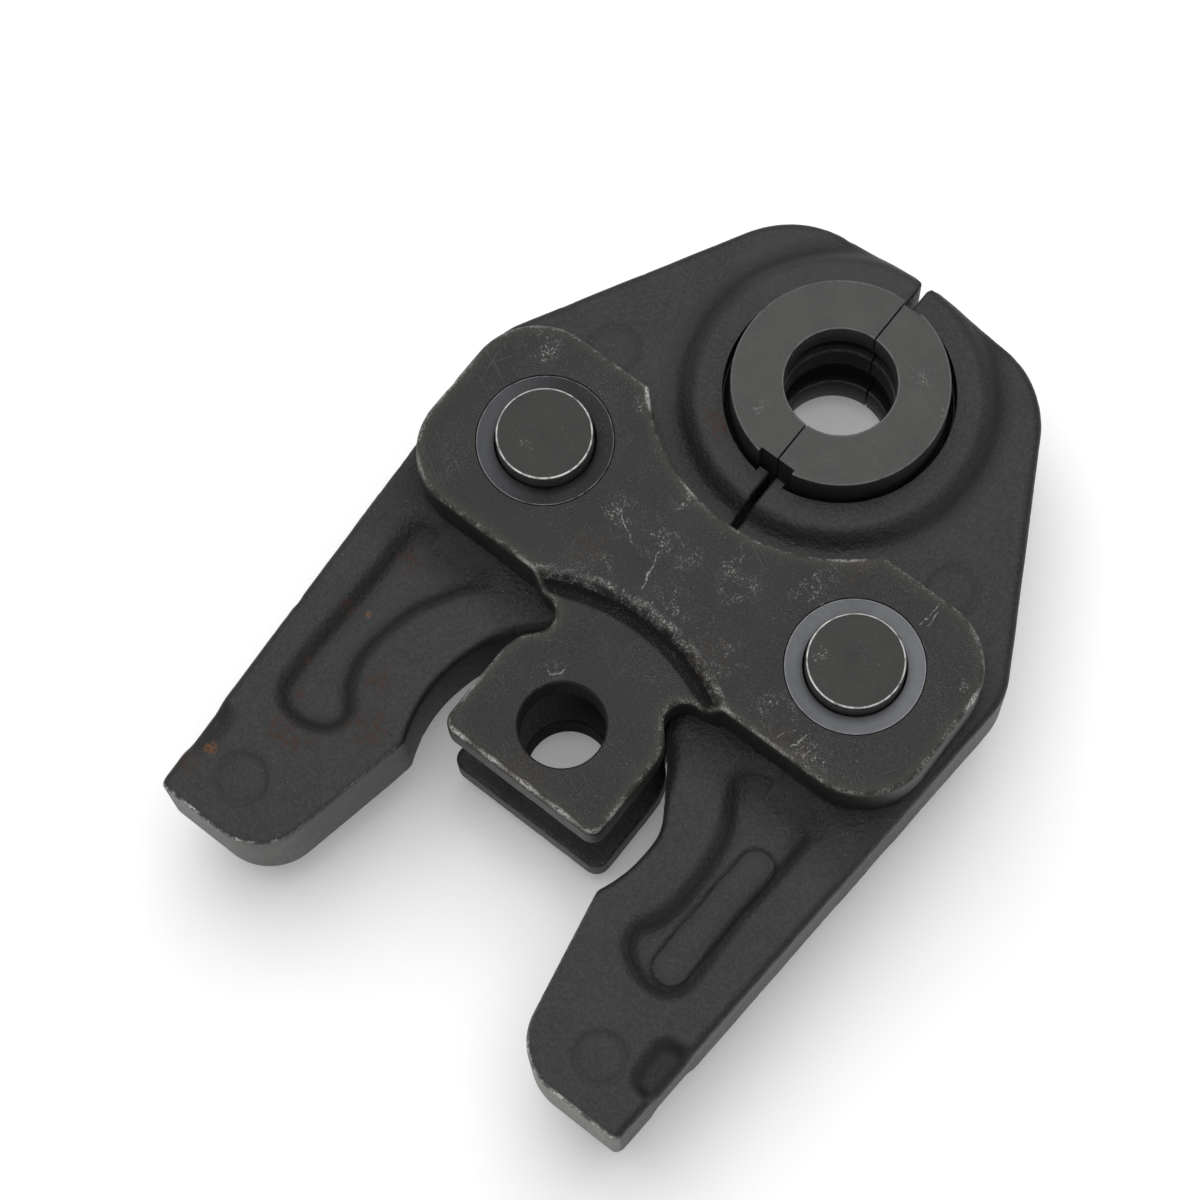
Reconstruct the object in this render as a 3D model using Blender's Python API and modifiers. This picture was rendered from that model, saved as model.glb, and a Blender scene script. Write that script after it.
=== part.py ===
"""Press jaw: two forged arms on pivot pins between two side plates, with a split die insert.

The jaw lies on its side, resting on the rear ends of its two pivot pins. +Y points from the
mounting lug to the die, +X to the right arm and +Z up. The front plate is the upper one.
Sizes are in metres. Outlines are drawn from the axis of the lug's bolt hole, at X = 0, Y = 0,
with Z = 0 in the middle of the jaw's thickness. The whole jaw is then moved so that the origin
is the centre of its underside.
"""

import math

import bmesh
import bpy
from mathutils import Matrix, Vector

MM = 0.001

# Fits between pieces
CLEARANCE = 0.3 * MM

# Pivots and pins
PIVOT_X = 31.3 * MM
PIVOT_Y = 35.3 * MM
PIN_RADIUS = 8.0 * MM
PIN_PROUD = 3.1 * MM
PIN_CHAMFER = 0.6 * MM
PIVOT_BORE_RADIUS = PIN_RADIUS + CLEARANCE

# Retaining rings, flush in the side plates
RING_RADIUS = 11.05 * MM
RING_THICKNESS = 2.0 * MM
RING_BORE_RADIUS = PIN_RADIUS + CLEARANCE
RING_EDGE = 0.25 * MM
COUNTERBORE_RADIUS = RING_RADIUS + CLEARANCE
COUNTERBORE_DEPTH = RING_THICKNESS + CLEARANCE

# Arms
ARM_THICKNESS = 16.0 * MM
ARM_EDGE = 1.2 * MM
CHANNEL_HALF = 0.65 * MM
NOSE_Y = 98.8 * MM
NOSE_CORNER = 1.8 * MM
ELBOW_X = 25.7 * MM
ELBOW_Y = 97.2 * MM
ELBOW_CURVE = 18.2 * MM
WAIST_X = 52.3 * MM
WAIST_Y = 48.9 * MM
WAIST_CURVE = 12.0 * MM
TIP_X = 46.6 * MM
TIP_Y = -45.9 * MM
TIP_CORNER = 1.5 * MM
TIP_INNER_X = 25.5 * MM
TIP_CURVE = 9.8 * MM
CAM_X = -3.0 * MM
CAM_Y = -6.0 * MM
CAM_RADIUS = 25.0 * MM
CAM_START = math.radians(-24.6)
CAM_END = math.radians(57.3)
SHOULDER_CORNER = 1.5 * MM
FINGER_CORNER = 1.5 * MM

# Opening between the arms that holds the closing spring
SPRING_Y = 21.5 * MM
SPRING_POCKET_RADIUS = 9.6 * MM

# Die boss, die seat and its two ears
DIE_Y = 73.6 * MM
BOSS_RADIUS = 25.0 * MM
BOSS_WALL = 2.4 * MM
BOSS_HEIGHT = 2.2 * MM
BOSS_EDGE = 0.7 * MM
BOSS_INSET = 0.15 * MM
INSERT_RADIUS = 18.8 * MM
INSERT_PROUD = 4.8 * MM
SEAT_RADIUS = INSERT_RADIUS + CLEARANCE
SEAT_RELIEF_RADIUS = 20.0 * MM
SEAT_RELIEF_DEPTH = 5.0 * MM
EAR_WIDTH = 2.5 * MM
EAR_REACH = 0.8 * MM

# Press profile in the insert's bore, from its front face to its rear face
DIE_BORE_RADIUS = 9.3 * MM
DIE_LIP = 4.9 * MM
DIE_GROOVE_WIDTH = 4.7 * MM
DIE_GROOVE_DEPTH = 1.1 * MM
DIE_RIDGE = 5.2 * MM
DIE_BEAD_WIDTH = 8.4 * MM
DIE_BEAD_DEPTH = 2.0 * MM
DIE_EDGE = 0.3 * MM
INSERT_EDGE = 0.3 * MM

# Forged pockets in the arms
POCKET_DEPTH = 1.8 * MM
POCKET_OUTER_X = 43.0 * MM
POCKET_TOP_Y = 15.8 * MM
POCKET_FOOT_Y = -23.9 * MM
POCKET_CENTRE_Y = -5.3 * MM
POCKET_INNER_RADIUS = 31.5 * MM
POCKET_OUTER_CORNER = 4.0 * MM
POCKET_INNER_CORNER = 2.6 * MM
POCKET_EDGE = 1.5 * MM

# Obround recess in the right arm's front pocket
OBROUND_RADIUS = 3.2 * MM
OBROUND_DEPTH = 0.5 * MM
OBROUND_TOP = (37.2 * MM, 2.0 * MM)
OBROUND_FOOT = (36.3 * MM, -18.7 * MM)

# Round ejector marks and the recess at the outer edge of each tip
MARK_RADIUS = 4.6 * MM
MARK_DEPTH = 0.4 * MM
TIP_MARK = (36.7 * MM, -37.3 * MM)
FLANK_MARK = (35.0 * MM, 57.9 * MM)
NOTCH_INNER_X = 43.0 * MM
NOTCH_LOW_Y = -36.2 * MM
NOTCH_HIGH_Y = -29.0 * MM
NOTCH_FLARE = 1.4 * MM
NOTCH_DEPTH = 2.0 * MM

# Side plates: a T with a wide head and a thinner lug
PLATE_THICKNESS = 9.6 * MM
PLATE_EDGE = 0.8 * MM
HEAD_HALF_WIDTH = 49.7 * MM
HEAD_TOP_Y = 53.0 * MM
HEAD_FOOT_Y = 16.8 * MM
HEAD_CORNER = 12.0 * MM
HEAD_DIE_RADIUS = 31.35 * MM
LUG_HALF_WIDTH = 15.6 * MM
LUG_FOOT_Y = -11.6 * MM
LUG_CORNER = 2.5 * MM
LUG_STEP = 3.0 * MM
LUG_STEP_RADIUS = 36.0 * MM
LUG_STEP_TOP_Y = 22.4 * MM
LUG_STEP_SLOPE = 2.0 * MM
LUG_NOTCH_RADIUS = 2.9 * MM
LUG_NOTCH_X = 15.3 * MM
LUG_NOTCH_Y = 12.6 * MM
LUG_NOTCH_MOUTH_Y = 5.6 * MM
BOLT_RADIUS = 7.1 * MM
BOLT_CHAMFER = 0.5 * MM

# Closing spring and the pin that carries it
SPRING_PIN_RADIUS = 3.0 * MM
SPRING_PIN_SEAT = 3.0 * MM
SPRING_WIRE = 1.8 * MM
SPRING_TURNS = 6.0
SPRING_COIL_RADIUS = SPRING_PIN_RADIUS + CLEARANCE + SPRING_WIRE / 2
SPRING_SIDE_GAP = 0.6 * MM
SPRING_LEG_ANGLE = math.radians(-32.0)

# Detent of each die insert: a pin and a coil spring in a blind hole behind the seat
LOCK_PIN_RADIUS = 2.0 * MM
LOCK_PIN_LENGTH = 5.0 * MM
LOCK_PIN_REACH = 1.0 * MM
LOCK_PIN_DOME = 0.6 * MM
LOCK_SPRING_LENGTH = 5.4 * MM
LOCK_SPRING_WIRE = 0.6 * MM
LOCK_SPRING_TURNS = 4
LOCK_HOLE_RADIUS = LOCK_PIN_RADIUS + CLEARANCE

# Heights of the stack, from the jaw's middle plane
ARM_FACE = ARM_THICKNESS / 2
PLATE_INNER = ARM_FACE + CLEARANCE
PLATE_FACE = PLATE_INNER + PLATE_THICKNESS
PIN_END = PLATE_FACE + PIN_PROUD
BOSS_FACE = ARM_FACE + BOSS_HEIGHT
INSERT_FACE = BOSS_FACE + INSERT_PROUD

# The origin is the centre of the underside
MIDDLE_Y = (NOSE_Y + TIP_Y) / 2

# Colours, roughness and metallic value of each finish
BLACK_OXIDE = ((0.045, 0.045, 0.047, 1.0), 0.55, 0.7)
PLATE_OXIDE = ((0.050, 0.049, 0.050, 1.0), 0.5, 0.75)
INSERT_OXIDE = ((0.075, 0.072, 0.070, 1.0), 0.42, 0.8)
PIN_STEEL = ((0.10, 0.10, 0.095, 1.0), 0.38, 0.85)
RING_STEEL = ((0.13, 0.135, 0.15, 1.0), 0.4, 0.85)
SPRING_STEEL = ((0.16, 0.16, 0.16, 1.0), 0.35, 0.9)

ROUND_STEPS = 36
CUT_OVERRUN = 2.0 * MM


def clear_scene():
    """Empties the scene."""
    for old in list(bpy.data.objects):
        bpy.data.objects.remove(old, do_unlink=True)


def new_collection(name):
    """A collection linked to the scene."""
    collection = bpy.data.collections.new(name)
    bpy.context.scene.collection.children.link(collection)
    return collection


clear_scene()
JAW = new_collection("press_jaw")
CUTTERS = new_collection("cutters")
FRAME = bpy.data.objects.new("jaw_frame", None)
FRAME.location = (0.0, -MIDDLE_Y, PIN_END)
JAW.objects.link(FRAME)


def material(name, finish):
    """A Principled material of the given colour, roughness and metallic value."""
    colour, roughness, metallic = finish
    made = bpy.data.materials.get(name) or bpy.data.materials.new(name)
    made.use_nodes = True
    shader = made.node_tree.nodes["Principled BSDF"]
    shader.inputs["Base Color"].default_value = colour
    shader.inputs["Roughness"].default_value = roughness
    shader.inputs["Metallic"].default_value = metallic
    return made


def arc(centre, radius, start, end, steps):
    """Points along a circle from angle start to angle end, both ends included."""
    points = []
    for i in range(steps + 1):
        angle = start + (end - start) * i / steps
        points.append((centre[0] + radius * math.cos(angle), centre[1] + radius * math.sin(angle)))
    return points


def rounded(corner, before, after, radius, steps):
    """The arc of the given radius that rounds a corner between two neighbouring points."""
    here = Vector(corner)
    back = (Vector(before) - here).normalized()
    ahead = (Vector(after) - here).normalized()
    half = back.angle(ahead) / 2
    centre = here + (back + ahead).normalized() * radius / math.sin(half)
    first = here + back * radius / math.tan(half) - centre
    last = here + ahead * radius / math.tan(half) - centre
    start = math.atan2(first.y, first.x)
    turn = math.atan2(last.y, last.x) - start
    turn = (turn + math.pi) % (2 * math.pi) - math.pi
    return arc(centre, radius, start, start + turn, steps)


def mirrored(points):
    """The same points with X reversed, in the opposite order."""
    return [(-x, y) for x, y in reversed(points)]


def sided(points, side):
    """An outline drawn for the right arm, as it is there (side 1) or mirrored (side -1)."""
    return points if side > 0 else mirrored(points)


def as_object(mesh, name, collection):
    """An object of this mesh in the collection."""
    made = bpy.data.objects.new(name, mesh)
    collection.objects.link(made)
    return made


def evaluated_mesh(source):
    """The object's mesh as modifiers or a curve's settings make it, welded and facing out."""
    bpy.context.view_layer.update()
    graph = bpy.context.evaluated_depsgraph_get()
    mesh = bpy.data.meshes.new_from_object(source.evaluated_get(graph))
    work = bmesh.new()
    work.from_mesh(mesh)
    bmesh.ops.remove_doubles(work, verts=work.verts, dist=1e-6)
    bmesh.ops.recalc_face_normals(work, faces=work.faces)
    work.to_mesh(mesh)
    work.free()
    return mesh


def join_caps(mesh):
    """Makes one face of the triangles that fill each end of an extruded outline."""
    work = bmesh.new()
    work.from_mesh(mesh)
    for end in (min(v.co.z for v in work.verts), max(v.co.z for v in work.verts)):
        cap = [f for f in work.faces if all(abs(v.co.z - end) < 1e-7 for v in f.verts)]
        bmesh.ops.dissolve_faces(work, faces=cap)
    work.to_mesh(mesh)
    work.free()


def make_cutter(made):
    """Marks an object as a helper that is never drawn."""
    made.hide_render = True
    made.display_type = "WIRE"
    return made


def prism(name, outline, low, high, edge=0.0, steps=2, inset=0.0):
    """A closed outline from height low to height high, with rounded rims or drawn in by inset."""
    curve = bpy.data.curves.new(name, "CURVE")
    curve.dimensions = "2D"
    curve.fill_mode = "BOTH"
    spline = curve.splines.new("POLY")
    spline.points.add(len(outline) - 1)
    for point, (x, y) in zip(spline.points, outline):
        point.co = (x, y, 0.0, 1.0)
    spline.use_cyclic_u = True
    curve.extrude = (high - low) / 2 - edge
    curve.bevel_depth = edge
    curve.bevel_resolution = steps - 1
    curve.offset = -edge - inset
    flat = bpy.data.objects.new(name + "_outline", curve)
    CUTTERS.objects.link(flat)
    mesh = evaluated_mesh(flat)
    bpy.data.objects.remove(flat, do_unlink=True)
    join_caps(mesh)
    mesh.transform(Matrix.Translation((0.0, 0.0, (low + high) / 2)))
    return make_cutter(as_object(mesh, name, CUTTERS))


def turned(name, profile, centre, steps=ROUND_STEPS):
    """A profile of radius and height pairs, read down its outer side, turned about Z at centre."""
    mesh = bpy.data.meshes.new(name)
    points = [(radius, 0.0, height) for radius, height in profile]
    edges = [(i, i + 1) for i in range(len(points) - 1)]
    if min(radius for radius, height in profile) > 0.0:
        edges.append((len(points) - 1, 0))
    mesh.from_pydata(points, edges, [])
    raw = as_object(mesh, name, CUTTERS)
    screw = raw.modifiers.new("turn", "SCREW")
    screw.steps = steps
    screw.render_steps = steps
    screw.use_merge_vertices = True
    screw.merge_threshold = 1e-6
    made = as_object(evaluated_mesh(raw), name, CUTTERS)
    bpy.data.objects.remove(raw, do_unlink=True)
    made.data.transform(Matrix.Translation((centre[0], centre[1], 0.0)))
    return make_cutter(made)


def disc(name, radius, low, high, centre, steps=ROUND_STEPS):
    """A plain cylinder between two heights."""
    return turned(name, [(0.0, high), (radius, high), (radius, low), (0.0, low)], centre, steps)


def block(name, low, high):
    """A box between two corners."""
    mesh = bpy.data.meshes.new(name)
    work = bmesh.new()
    bmesh.ops.create_cube(work, size=1.0)
    for vertex in work.verts:
        for axis in range(3):
            middle = (low[axis] + high[axis]) / 2
            vertex.co[axis] = middle + vertex.co[axis] * (high[axis] - low[axis])
    work.to_mesh(mesh)
    work.free()
    return make_cutter(as_object(mesh, name, CUTTERS))


def combine(target, operation, *others):
    """Applies an exact Boolean of each other object to the target, in turn."""
    for other in others:
        step = target.modifiers.new(operation.lower(), "BOOLEAN")
        step.operation = operation
        step.solver = "EXACT"
        step.object = other
        old = target.data
        mesh = evaluated_mesh(target)
        target.modifiers.clear()
        target.data = mesh
        bpy.data.meshes.remove(old)
        bpy.data.objects.remove(other, do_unlink=True)
    return target


def finish_piece(made, name, finish, origin=(0.0, 0.0, 0.0)):
    """Turns a helper into a real piece: named, coloured, shaded and with its own origin."""
    made.name = name
    made.data.name = name
    made.hide_render = False
    made.display_type = "TEXTURED"
    CUTTERS.objects.unlink(made)
    JAW.objects.link(made)
    made.data.transform(Matrix.Translation((-origin[0], -origin[1], -origin[2])))
    made.parent = FRAME
    made.location = origin
    made.data.materials.clear()
    made.data.materials.append(material(name + "_finish", finish))
    made.data.shade_smooth()
    made.data.set_sharp_from_angle(angle=math.radians(32.0))
    return made


def side_name(side):
    return "right" if side > 0 else "left"


def arm_outline():
    """The right arm seen from the front, anticlockwise from the foot of its inner face."""
    nose = (CHANNEL_HALF, NOSE_Y)
    elbow = (ELBOW_X, ELBOW_Y)
    waist = (WAIST_X, WAIST_Y)
    tip = (TIP_X, TIP_Y)
    tip_inner = (TIP_INNER_X, TIP_Y)
    cam = arc((CAM_X, CAM_Y), CAM_RADIUS, CAM_START, CAM_END, 13)
    pocket = Vector((0.0, SPRING_Y))
    finger = Vector(cam[-1]) - pocket
    pocket_start = math.atan2(finger.y, finger.x) + math.acos(SPRING_POCKET_RADIUS / finger.length)
    pocket_end = math.acos(CHANNEL_HALF / SPRING_POCKET_RADIUS)
    pocket_wall = arc(pocket, SPRING_POCKET_RADIUS, pocket_start, pocket_end, 9)
    points = rounded(cam[0], tip_inner, cam[1], SHOULDER_CORNER, 2)
    points += cam[1:-1]
    points += rounded(cam[-1], cam[-2], pocket_wall[0], FINGER_CORNER, 3)
    points += pocket_wall
    points += rounded(nose, pocket_wall[-1], elbow, NOSE_CORNER, 4)
    points += rounded(elbow, nose, waist, ELBOW_CURVE, 8)
    points += rounded(waist, elbow, tip, WAIST_CURVE, 4)
    points += rounded(tip, waist, tip_inner, TIP_CORNER, 3)
    points += rounded(tip_inner, tip, cam[0], TIP_CURVE, 8)
    return points[::-1]


def pocket_outline():
    """The forged pocket in the right arm, between the cam's rim, the outer rim and the pivot."""
    centre = (0.0, POCKET_CENTRE_Y)
    foot_angle = math.asin((POCKET_FOOT_Y - POCKET_CENTRE_Y) / POCKET_INNER_RADIUS)
    top_angle = math.asin((POCKET_TOP_Y - POCKET_CENTRE_Y) / POCKET_INNER_RADIUS)
    wall = arc(centre, POCKET_INNER_RADIUS, foot_angle, top_angle, 12)
    head_out = (POCKET_OUTER_X, POCKET_TOP_Y)
    foot_out = (POCKET_OUTER_X, POCKET_FOOT_Y)
    points = wall[2:-2]
    points += rounded(wall[-1], wall[-3], head_out, POCKET_INNER_CORNER, 4)
    points += rounded(head_out, wall[-1], foot_out, POCKET_OUTER_CORNER, 5)
    points += rounded(foot_out, head_out, wall[0], POCKET_OUTER_CORNER, 5)
    points += rounded(wall[0], foot_out, wall[2], POCKET_INNER_CORNER, 4)
    return points[::-1]


def obround_outline():
    """Two half circles joined by straight sides."""
    top = Vector(OBROUND_TOP)
    foot = Vector(OBROUND_FOOT)
    lie = math.atan2((top - foot).y, (top - foot).x)
    quarter = math.pi / 2
    points = arc(top, OBROUND_RADIUS, lie + quarter, lie - quarter, 10)
    points += arc(foot, OBROUND_RADIUS, lie - quarter, lie - 3 * quarter, 10)
    return points[::-1]


def notch_outline():
    """The recess at the outer edge of the right arm's tip, flared towards the edge."""
    edge = WAIST_X
    return [
        (NOTCH_INNER_X, NOTCH_LOW_Y),
        (edge, NOTCH_LOW_Y - NOTCH_FLARE),
        (edge, NOTCH_HIGH_Y + NOTCH_FLARE),
        (NOTCH_INNER_X, NOTCH_HIGH_Y),
    ]


def boss_profile():
    """The die boss down its outer side, with a hollow fillet where it meets the arm's faces."""
    wall = BOSS_RADIUS + BOSS_WALL
    fillet = []
    for i in range(5):
        angle = math.pi / 2 * i / 4
        reach = BOSS_WALL * (1 - math.cos(angle))
        rise = (BOSS_HEIGHT - BOSS_EDGE) * (1 - math.sin(angle))
        fillet.append((BOSS_RADIUS + reach, ARM_FACE + rise))
    upper = [(0.0, BOSS_FACE), (BOSS_RADIUS - BOSS_EDGE, BOSS_FACE)] + fillet
    lower = [(radius, -height) for radius, height in reversed(upper)]
    inside = ARM_FACE - ARM_EDGE
    return upper + [(wall, inside), (wall, -inside)] + lower


def seat_cutter(side):
    """What the die seat removes from an arm: a bore that leaves two ears at the split."""
    reach = INSERT_FACE + CUT_OVERRUN
    seat = disc("seat", SEAT_RADIUS, -reach, reach, (0.0, DIE_Y), 48)
    ear = CHANNEL_HALF + EAR_WIDTH
    shelf = SEAT_RADIUS - EAR_REACH
    for lengthwise in (-1, 1):
        near = DIE_Y + lengthwise * shelf
        far = DIE_Y + lengthwise * (SEAT_RADIUS + CUT_OVERRUN)
        low = (-ear, min(near, far), -reach - CUT_OVERRUN)
        high = (ear, max(near, far), reach + CUT_OVERRUN)
        combine(seat, "DIFFERENCE", block("ear", low, high))
    return seat


def relief_cutter(side, face):
    """The groove round the insert in one face of the boss, which stops short of the ears."""
    deep = BOSS_FACE - SEAT_RELIEF_DEPTH
    high = BOSS_FACE + CUT_OVERRUN
    low, top = (deep, high) if face > 0 else (-high, -deep)
    relief = disc("relief", SEAT_RELIEF_RADIUS, low, top, (0.0, DIE_Y), 48)
    ear = CHANNEL_HALF + EAR_WIDTH
    reach = SEAT_RELIEF_RADIUS + CUT_OVERRUN
    start = ear * side if side > 0 else -ear - reach
    keep = block("relief_side", (start, DIE_Y - reach, low - CUT_OVERRUN),
                 (start + reach, DIE_Y + reach, top + CUT_OVERRUN))
    return combine(relief, "INTERSECT", keep)


def lock_hole_depth():
    """How far the detent's blind hole runs into the arm from the seat's wall."""
    return LOCK_PIN_LENGTH - LOCK_PIN_REACH + LOCK_SPRING_LENGTH + 3 * CLEARANCE


def lock_cylinder(name, radius, start, end, side, steps=24):
    """A cylinder along X on the die's centre line, between two distances from the die's axis."""
    made = disc(name, radius, start, end, (0.0, 0.0), steps)
    made.data.transform(Matrix.Rotation(math.radians(90.0) * side, 4, "Y"))
    made.data.transform(Matrix.Translation((0.0, DIE_Y, 0.0)))
    return made


def make_arm(side):
    """One forged jaw arm, with every cut that the photo shows and those hidden in its seat."""
    outline = sided(arm_outline(), side)
    arm = prism("arm", outline, -ARM_FACE, ARM_FACE, ARM_EDGE, 2)
    boss = turned("boss", boss_profile(), (0.0, DIE_Y), 48)
    above = BOSS_FACE + CUT_OVERRUN
    combine(boss, "INTERSECT", prism("boss_outline", outline, -above, above, inset=BOSS_INSET))
    combine(arm, "UNION", boss)
    for face in (-1, 1):
        heights = sorted((face * (ARM_FACE - MARK_DEPTH), face * (ARM_FACE + CUT_OVERRUN)))
        for x, y in (TIP_MARK, FLANK_MARK):
            combine(arm, "DIFFERENCE", disc("mark", MARK_RADIUS, *heights, (side * x, y), 20))
        floor = ARM_FACE - POCKET_DEPTH
        heights = sorted((face * floor, face * (ARM_FACE + CUT_OVERRUN)))
        combine(arm, "DIFFERENCE",
                prism("pocket", sided(pocket_outline(), side), *heights, POCKET_EDGE, 2))
        shelf = ARM_FACE - NOTCH_DEPTH
        heights = sorted((face * shelf, face * (ARM_FACE + CUT_OVERRUN)))
        combine(arm, "DIFFERENCE", prism("notch", sided(notch_outline(), side), *heights))
        combine(arm, "DIFFERENCE", relief_cutter(side, face))
    if side > 0:
        floor = ARM_FACE - POCKET_DEPTH - OBROUND_DEPTH
        combine(arm, "DIFFERENCE", prism("obround", obround_outline(), floor, ARM_FACE + CUT_OVERRUN))
    combine(arm, "DIFFERENCE", seat_cutter(side))
    pivot = (side * PIVOT_X, PIVOT_Y)
    through = ARM_FACE + CUT_OVERRUN
    combine(arm, "DIFFERENCE", disc("pivot_bore", PIVOT_BORE_RADIUS, -through, through, pivot))
    start = INSERT_RADIUS - CUT_OVERRUN
    end = SEAT_RADIUS + lock_hole_depth()
    combine(arm, "DIFFERENCE", lock_cylinder("lock_hole", LOCK_HOLE_RADIUS, start, end, side))
    finish_piece(arm, side_name(side) + "_jaw_arm", BLACK_OXIDE, (*pivot, 0.0))


def plate_outline():
    """The T-plate: lug, the notch on each side of its neck, head and the hollow round the die."""
    lug = arc((LUG_HALF_WIDTH - LUG_CORNER, LUG_FOOT_Y + LUG_CORNER), LUG_CORNER, -math.pi / 2, 0.0, 3)
    mouth = (LUG_HALF_WIDTH, LUG_NOTCH_MOUTH_Y)
    notch = arc((LUG_NOTCH_X, LUG_NOTCH_Y), LUG_NOTCH_RADIUS, math.radians(215.0), math.radians(80.0), 6)
    neck = (LUG_NOTCH_X + LUG_NOTCH_RADIUS + MM, HEAD_FOOT_Y)
    side_x = HEAD_HALF_WIDTH - HEAD_CORNER
    low_corner = arc((side_x, HEAD_FOOT_Y + HEAD_CORNER), HEAD_CORNER, -math.pi / 2, 0.0, 7)
    high_corner = arc((side_x, HEAD_TOP_Y - HEAD_CORNER), HEAD_CORNER, 0.0, math.pi / 2, 7)
    rise = DIE_Y - HEAD_TOP_Y
    half = math.asin(rise / HEAD_DIE_RADIUS)
    hollow = arc((0.0, DIE_Y), HEAD_DIE_RADIUS, -half, half - math.pi, 20)
    middle = len(hollow) // 2
    right = lug + [mouth] + notch + [neck] + low_corner + high_corner + hollow[:middle]
    return right + [hollow[middle]] + mirrored(right)


def make_plate(face):
    """One side plate. face is 1 for the front plate and -1 for the rear one."""
    heights = sorted((face * PLATE_INNER, face * PLATE_FACE))
    plate = prism("plate", plate_outline(), *heights, PLATE_EDGE, 2)
    over = CUT_OVERRUN
    slope = LUG_STEP_SLOPE / LUG_STEP
    step = [
        (0.0, PLATE_FACE + over),
        (LUG_STEP_RADIUS + over * slope, PLATE_FACE + over),
        (LUG_STEP_RADIUS - LUG_STEP_SLOPE, PLATE_FACE - LUG_STEP),
        (0.0, PLATE_FACE - LUG_STEP),
    ]
    centre = (0.0, LUG_STEP_TOP_Y - LUG_STEP_RADIUS)
    combine(plate, "DIFFERENCE", facing(turned("lug_step", step, centre, 80), face))
    for side in (-1, 1):
        pivot = (side * PIVOT_X, PIVOT_Y)
        seat = PLATE_FACE - COUNTERBORE_DEPTH
        bore = [
            (0.0, PLATE_FACE + over),
            (COUNTERBORE_RADIUS, PLATE_FACE + over),
            (COUNTERBORE_RADIUS, seat),
            (PIVOT_BORE_RADIUS, seat),
            (PIVOT_BORE_RADIUS, PLATE_INNER - over),
            (0.0, PLATE_INNER - over),
        ]
        combine(plate, "DIFFERENCE", facing(turned("pin_bore", bore, pivot), face))
    lug_face = PLATE_FACE - LUG_STEP
    bolt = [
        (0.0, lug_face + over),
        (BOLT_RADIUS + BOLT_CHAMFER + over, lug_face + over),
        (BOLT_RADIUS, lug_face - BOLT_CHAMFER),
        (BOLT_RADIUS, PLATE_INNER - over),
        (0.0, PLATE_INNER - over),
    ]
    combine(plate, "DIFFERENCE", facing(turned("bolt_hole", bolt, (0.0, 0.0)), face))
    blind = PLATE_INNER + SPRING_PIN_SEAT + CLEARANCE
    radius = SPRING_PIN_RADIUS + CLEARANCE
    hole = disc("spring_pin_hole", radius, PLATE_INNER - over, blind, (0.0, SPRING_Y), 24)
    combine(plate, "DIFFERENCE", facing(hole, face))
    name = "front_side_plate" if face > 0 else "rear_side_plate"
    finish_piece(plate, name, PLATE_OXIDE)


def facing(made, face):
    """A helper drawn for the front, as it is (face 1) or turned over to the rear (face -1)."""
    if face < 0:
        made.data.transform(Matrix.Scale(-1.0, 4, Vector((0.0, 0.0, 1.0))))
        made.data.flip_normals()
    return made


def make_pin(side):
    """One pivot pin, proud of both plates, with a chamfer at each end."""
    profile = [
        (0.0, PIN_END),
        (PIN_RADIUS - PIN_CHAMFER, PIN_END),
        (PIN_RADIUS, PIN_END - PIN_CHAMFER),
        (PIN_RADIUS, PIN_CHAMFER - PIN_END),
        (PIN_RADIUS - PIN_CHAMFER, -PIN_END),
        (0.0, -PIN_END),
    ]
    pivot = (side * PIVOT_X, PIVOT_Y)
    pin = turned("pin", profile, pivot)
    finish_piece(pin, side_name(side) + "_pivot_pin", PIN_STEEL, (*pivot, 0.0))


def make_ring(side, face):
    """One closed retaining ring, flush with its side plate."""
    high = PLATE_FACE
    low = PLATE_FACE - RING_THICKNESS
    profile = [
        (RING_BORE_RADIUS, high),
        (RING_RADIUS - RING_EDGE, high),
        (RING_RADIUS, high - RING_EDGE),
        (RING_RADIUS, low),
        (RING_BORE_RADIUS, low),
    ]
    pivot = (side * PIVOT_X, PIVOT_Y)
    ring = facing(turned("ring", profile, pivot), face)
    where = "front" if face > 0 else "rear"
    finish_piece(ring, side_name(side) + "_" + where + "_retaining_ring", RING_STEEL, (*pivot, 0.0))


def insert_profile():
    """A full turn of the die insert: outer wall down, then the press profile up its bore."""
    top = INSERT_FACE
    bore = DIE_BORE_RADIUS
    groove_top = top - DIE_LIP
    groove_foot = groove_top - DIE_GROOVE_WIDTH
    bead_top = groove_foot - DIE_RIDGE
    bead_foot = bead_top - DIE_BEAD_WIDTH
    inner = [
        (bore + DIE_EDGE, top),
        (bore, top - DIE_EDGE),
        (bore, groove_top),
        (bore + DIE_GROOVE_DEPTH, groove_top - DIE_GROOVE_DEPTH / 2),
        (bore + DIE_GROOVE_DEPTH, groove_foot + DIE_GROOVE_DEPTH / 2),
        (bore, groove_foot),
        (bore, bead_top),
    ]
    for i in range(1, 6):
        angle = math.pi * i / 6
        height = (bead_top + bead_foot) / 2 + math.cos(angle) * DIE_BEAD_WIDTH / 2
        inner.append((bore + DIE_BEAD_DEPTH * math.sin(angle), height))
    inner += [(bore, bead_foot), (bore, DIE_EDGE - top), (bore + DIE_EDGE, -top)]
    outer = [
        (INSERT_RADIUS - INSERT_EDGE, top),
        (INSERT_RADIUS, top - INSERT_EDGE),
        (INSERT_RADIUS, INSERT_EDGE - top),
        (INSERT_RADIUS - INSERT_EDGE, -top),
    ]
    return outer + inner[::-1]


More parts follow.
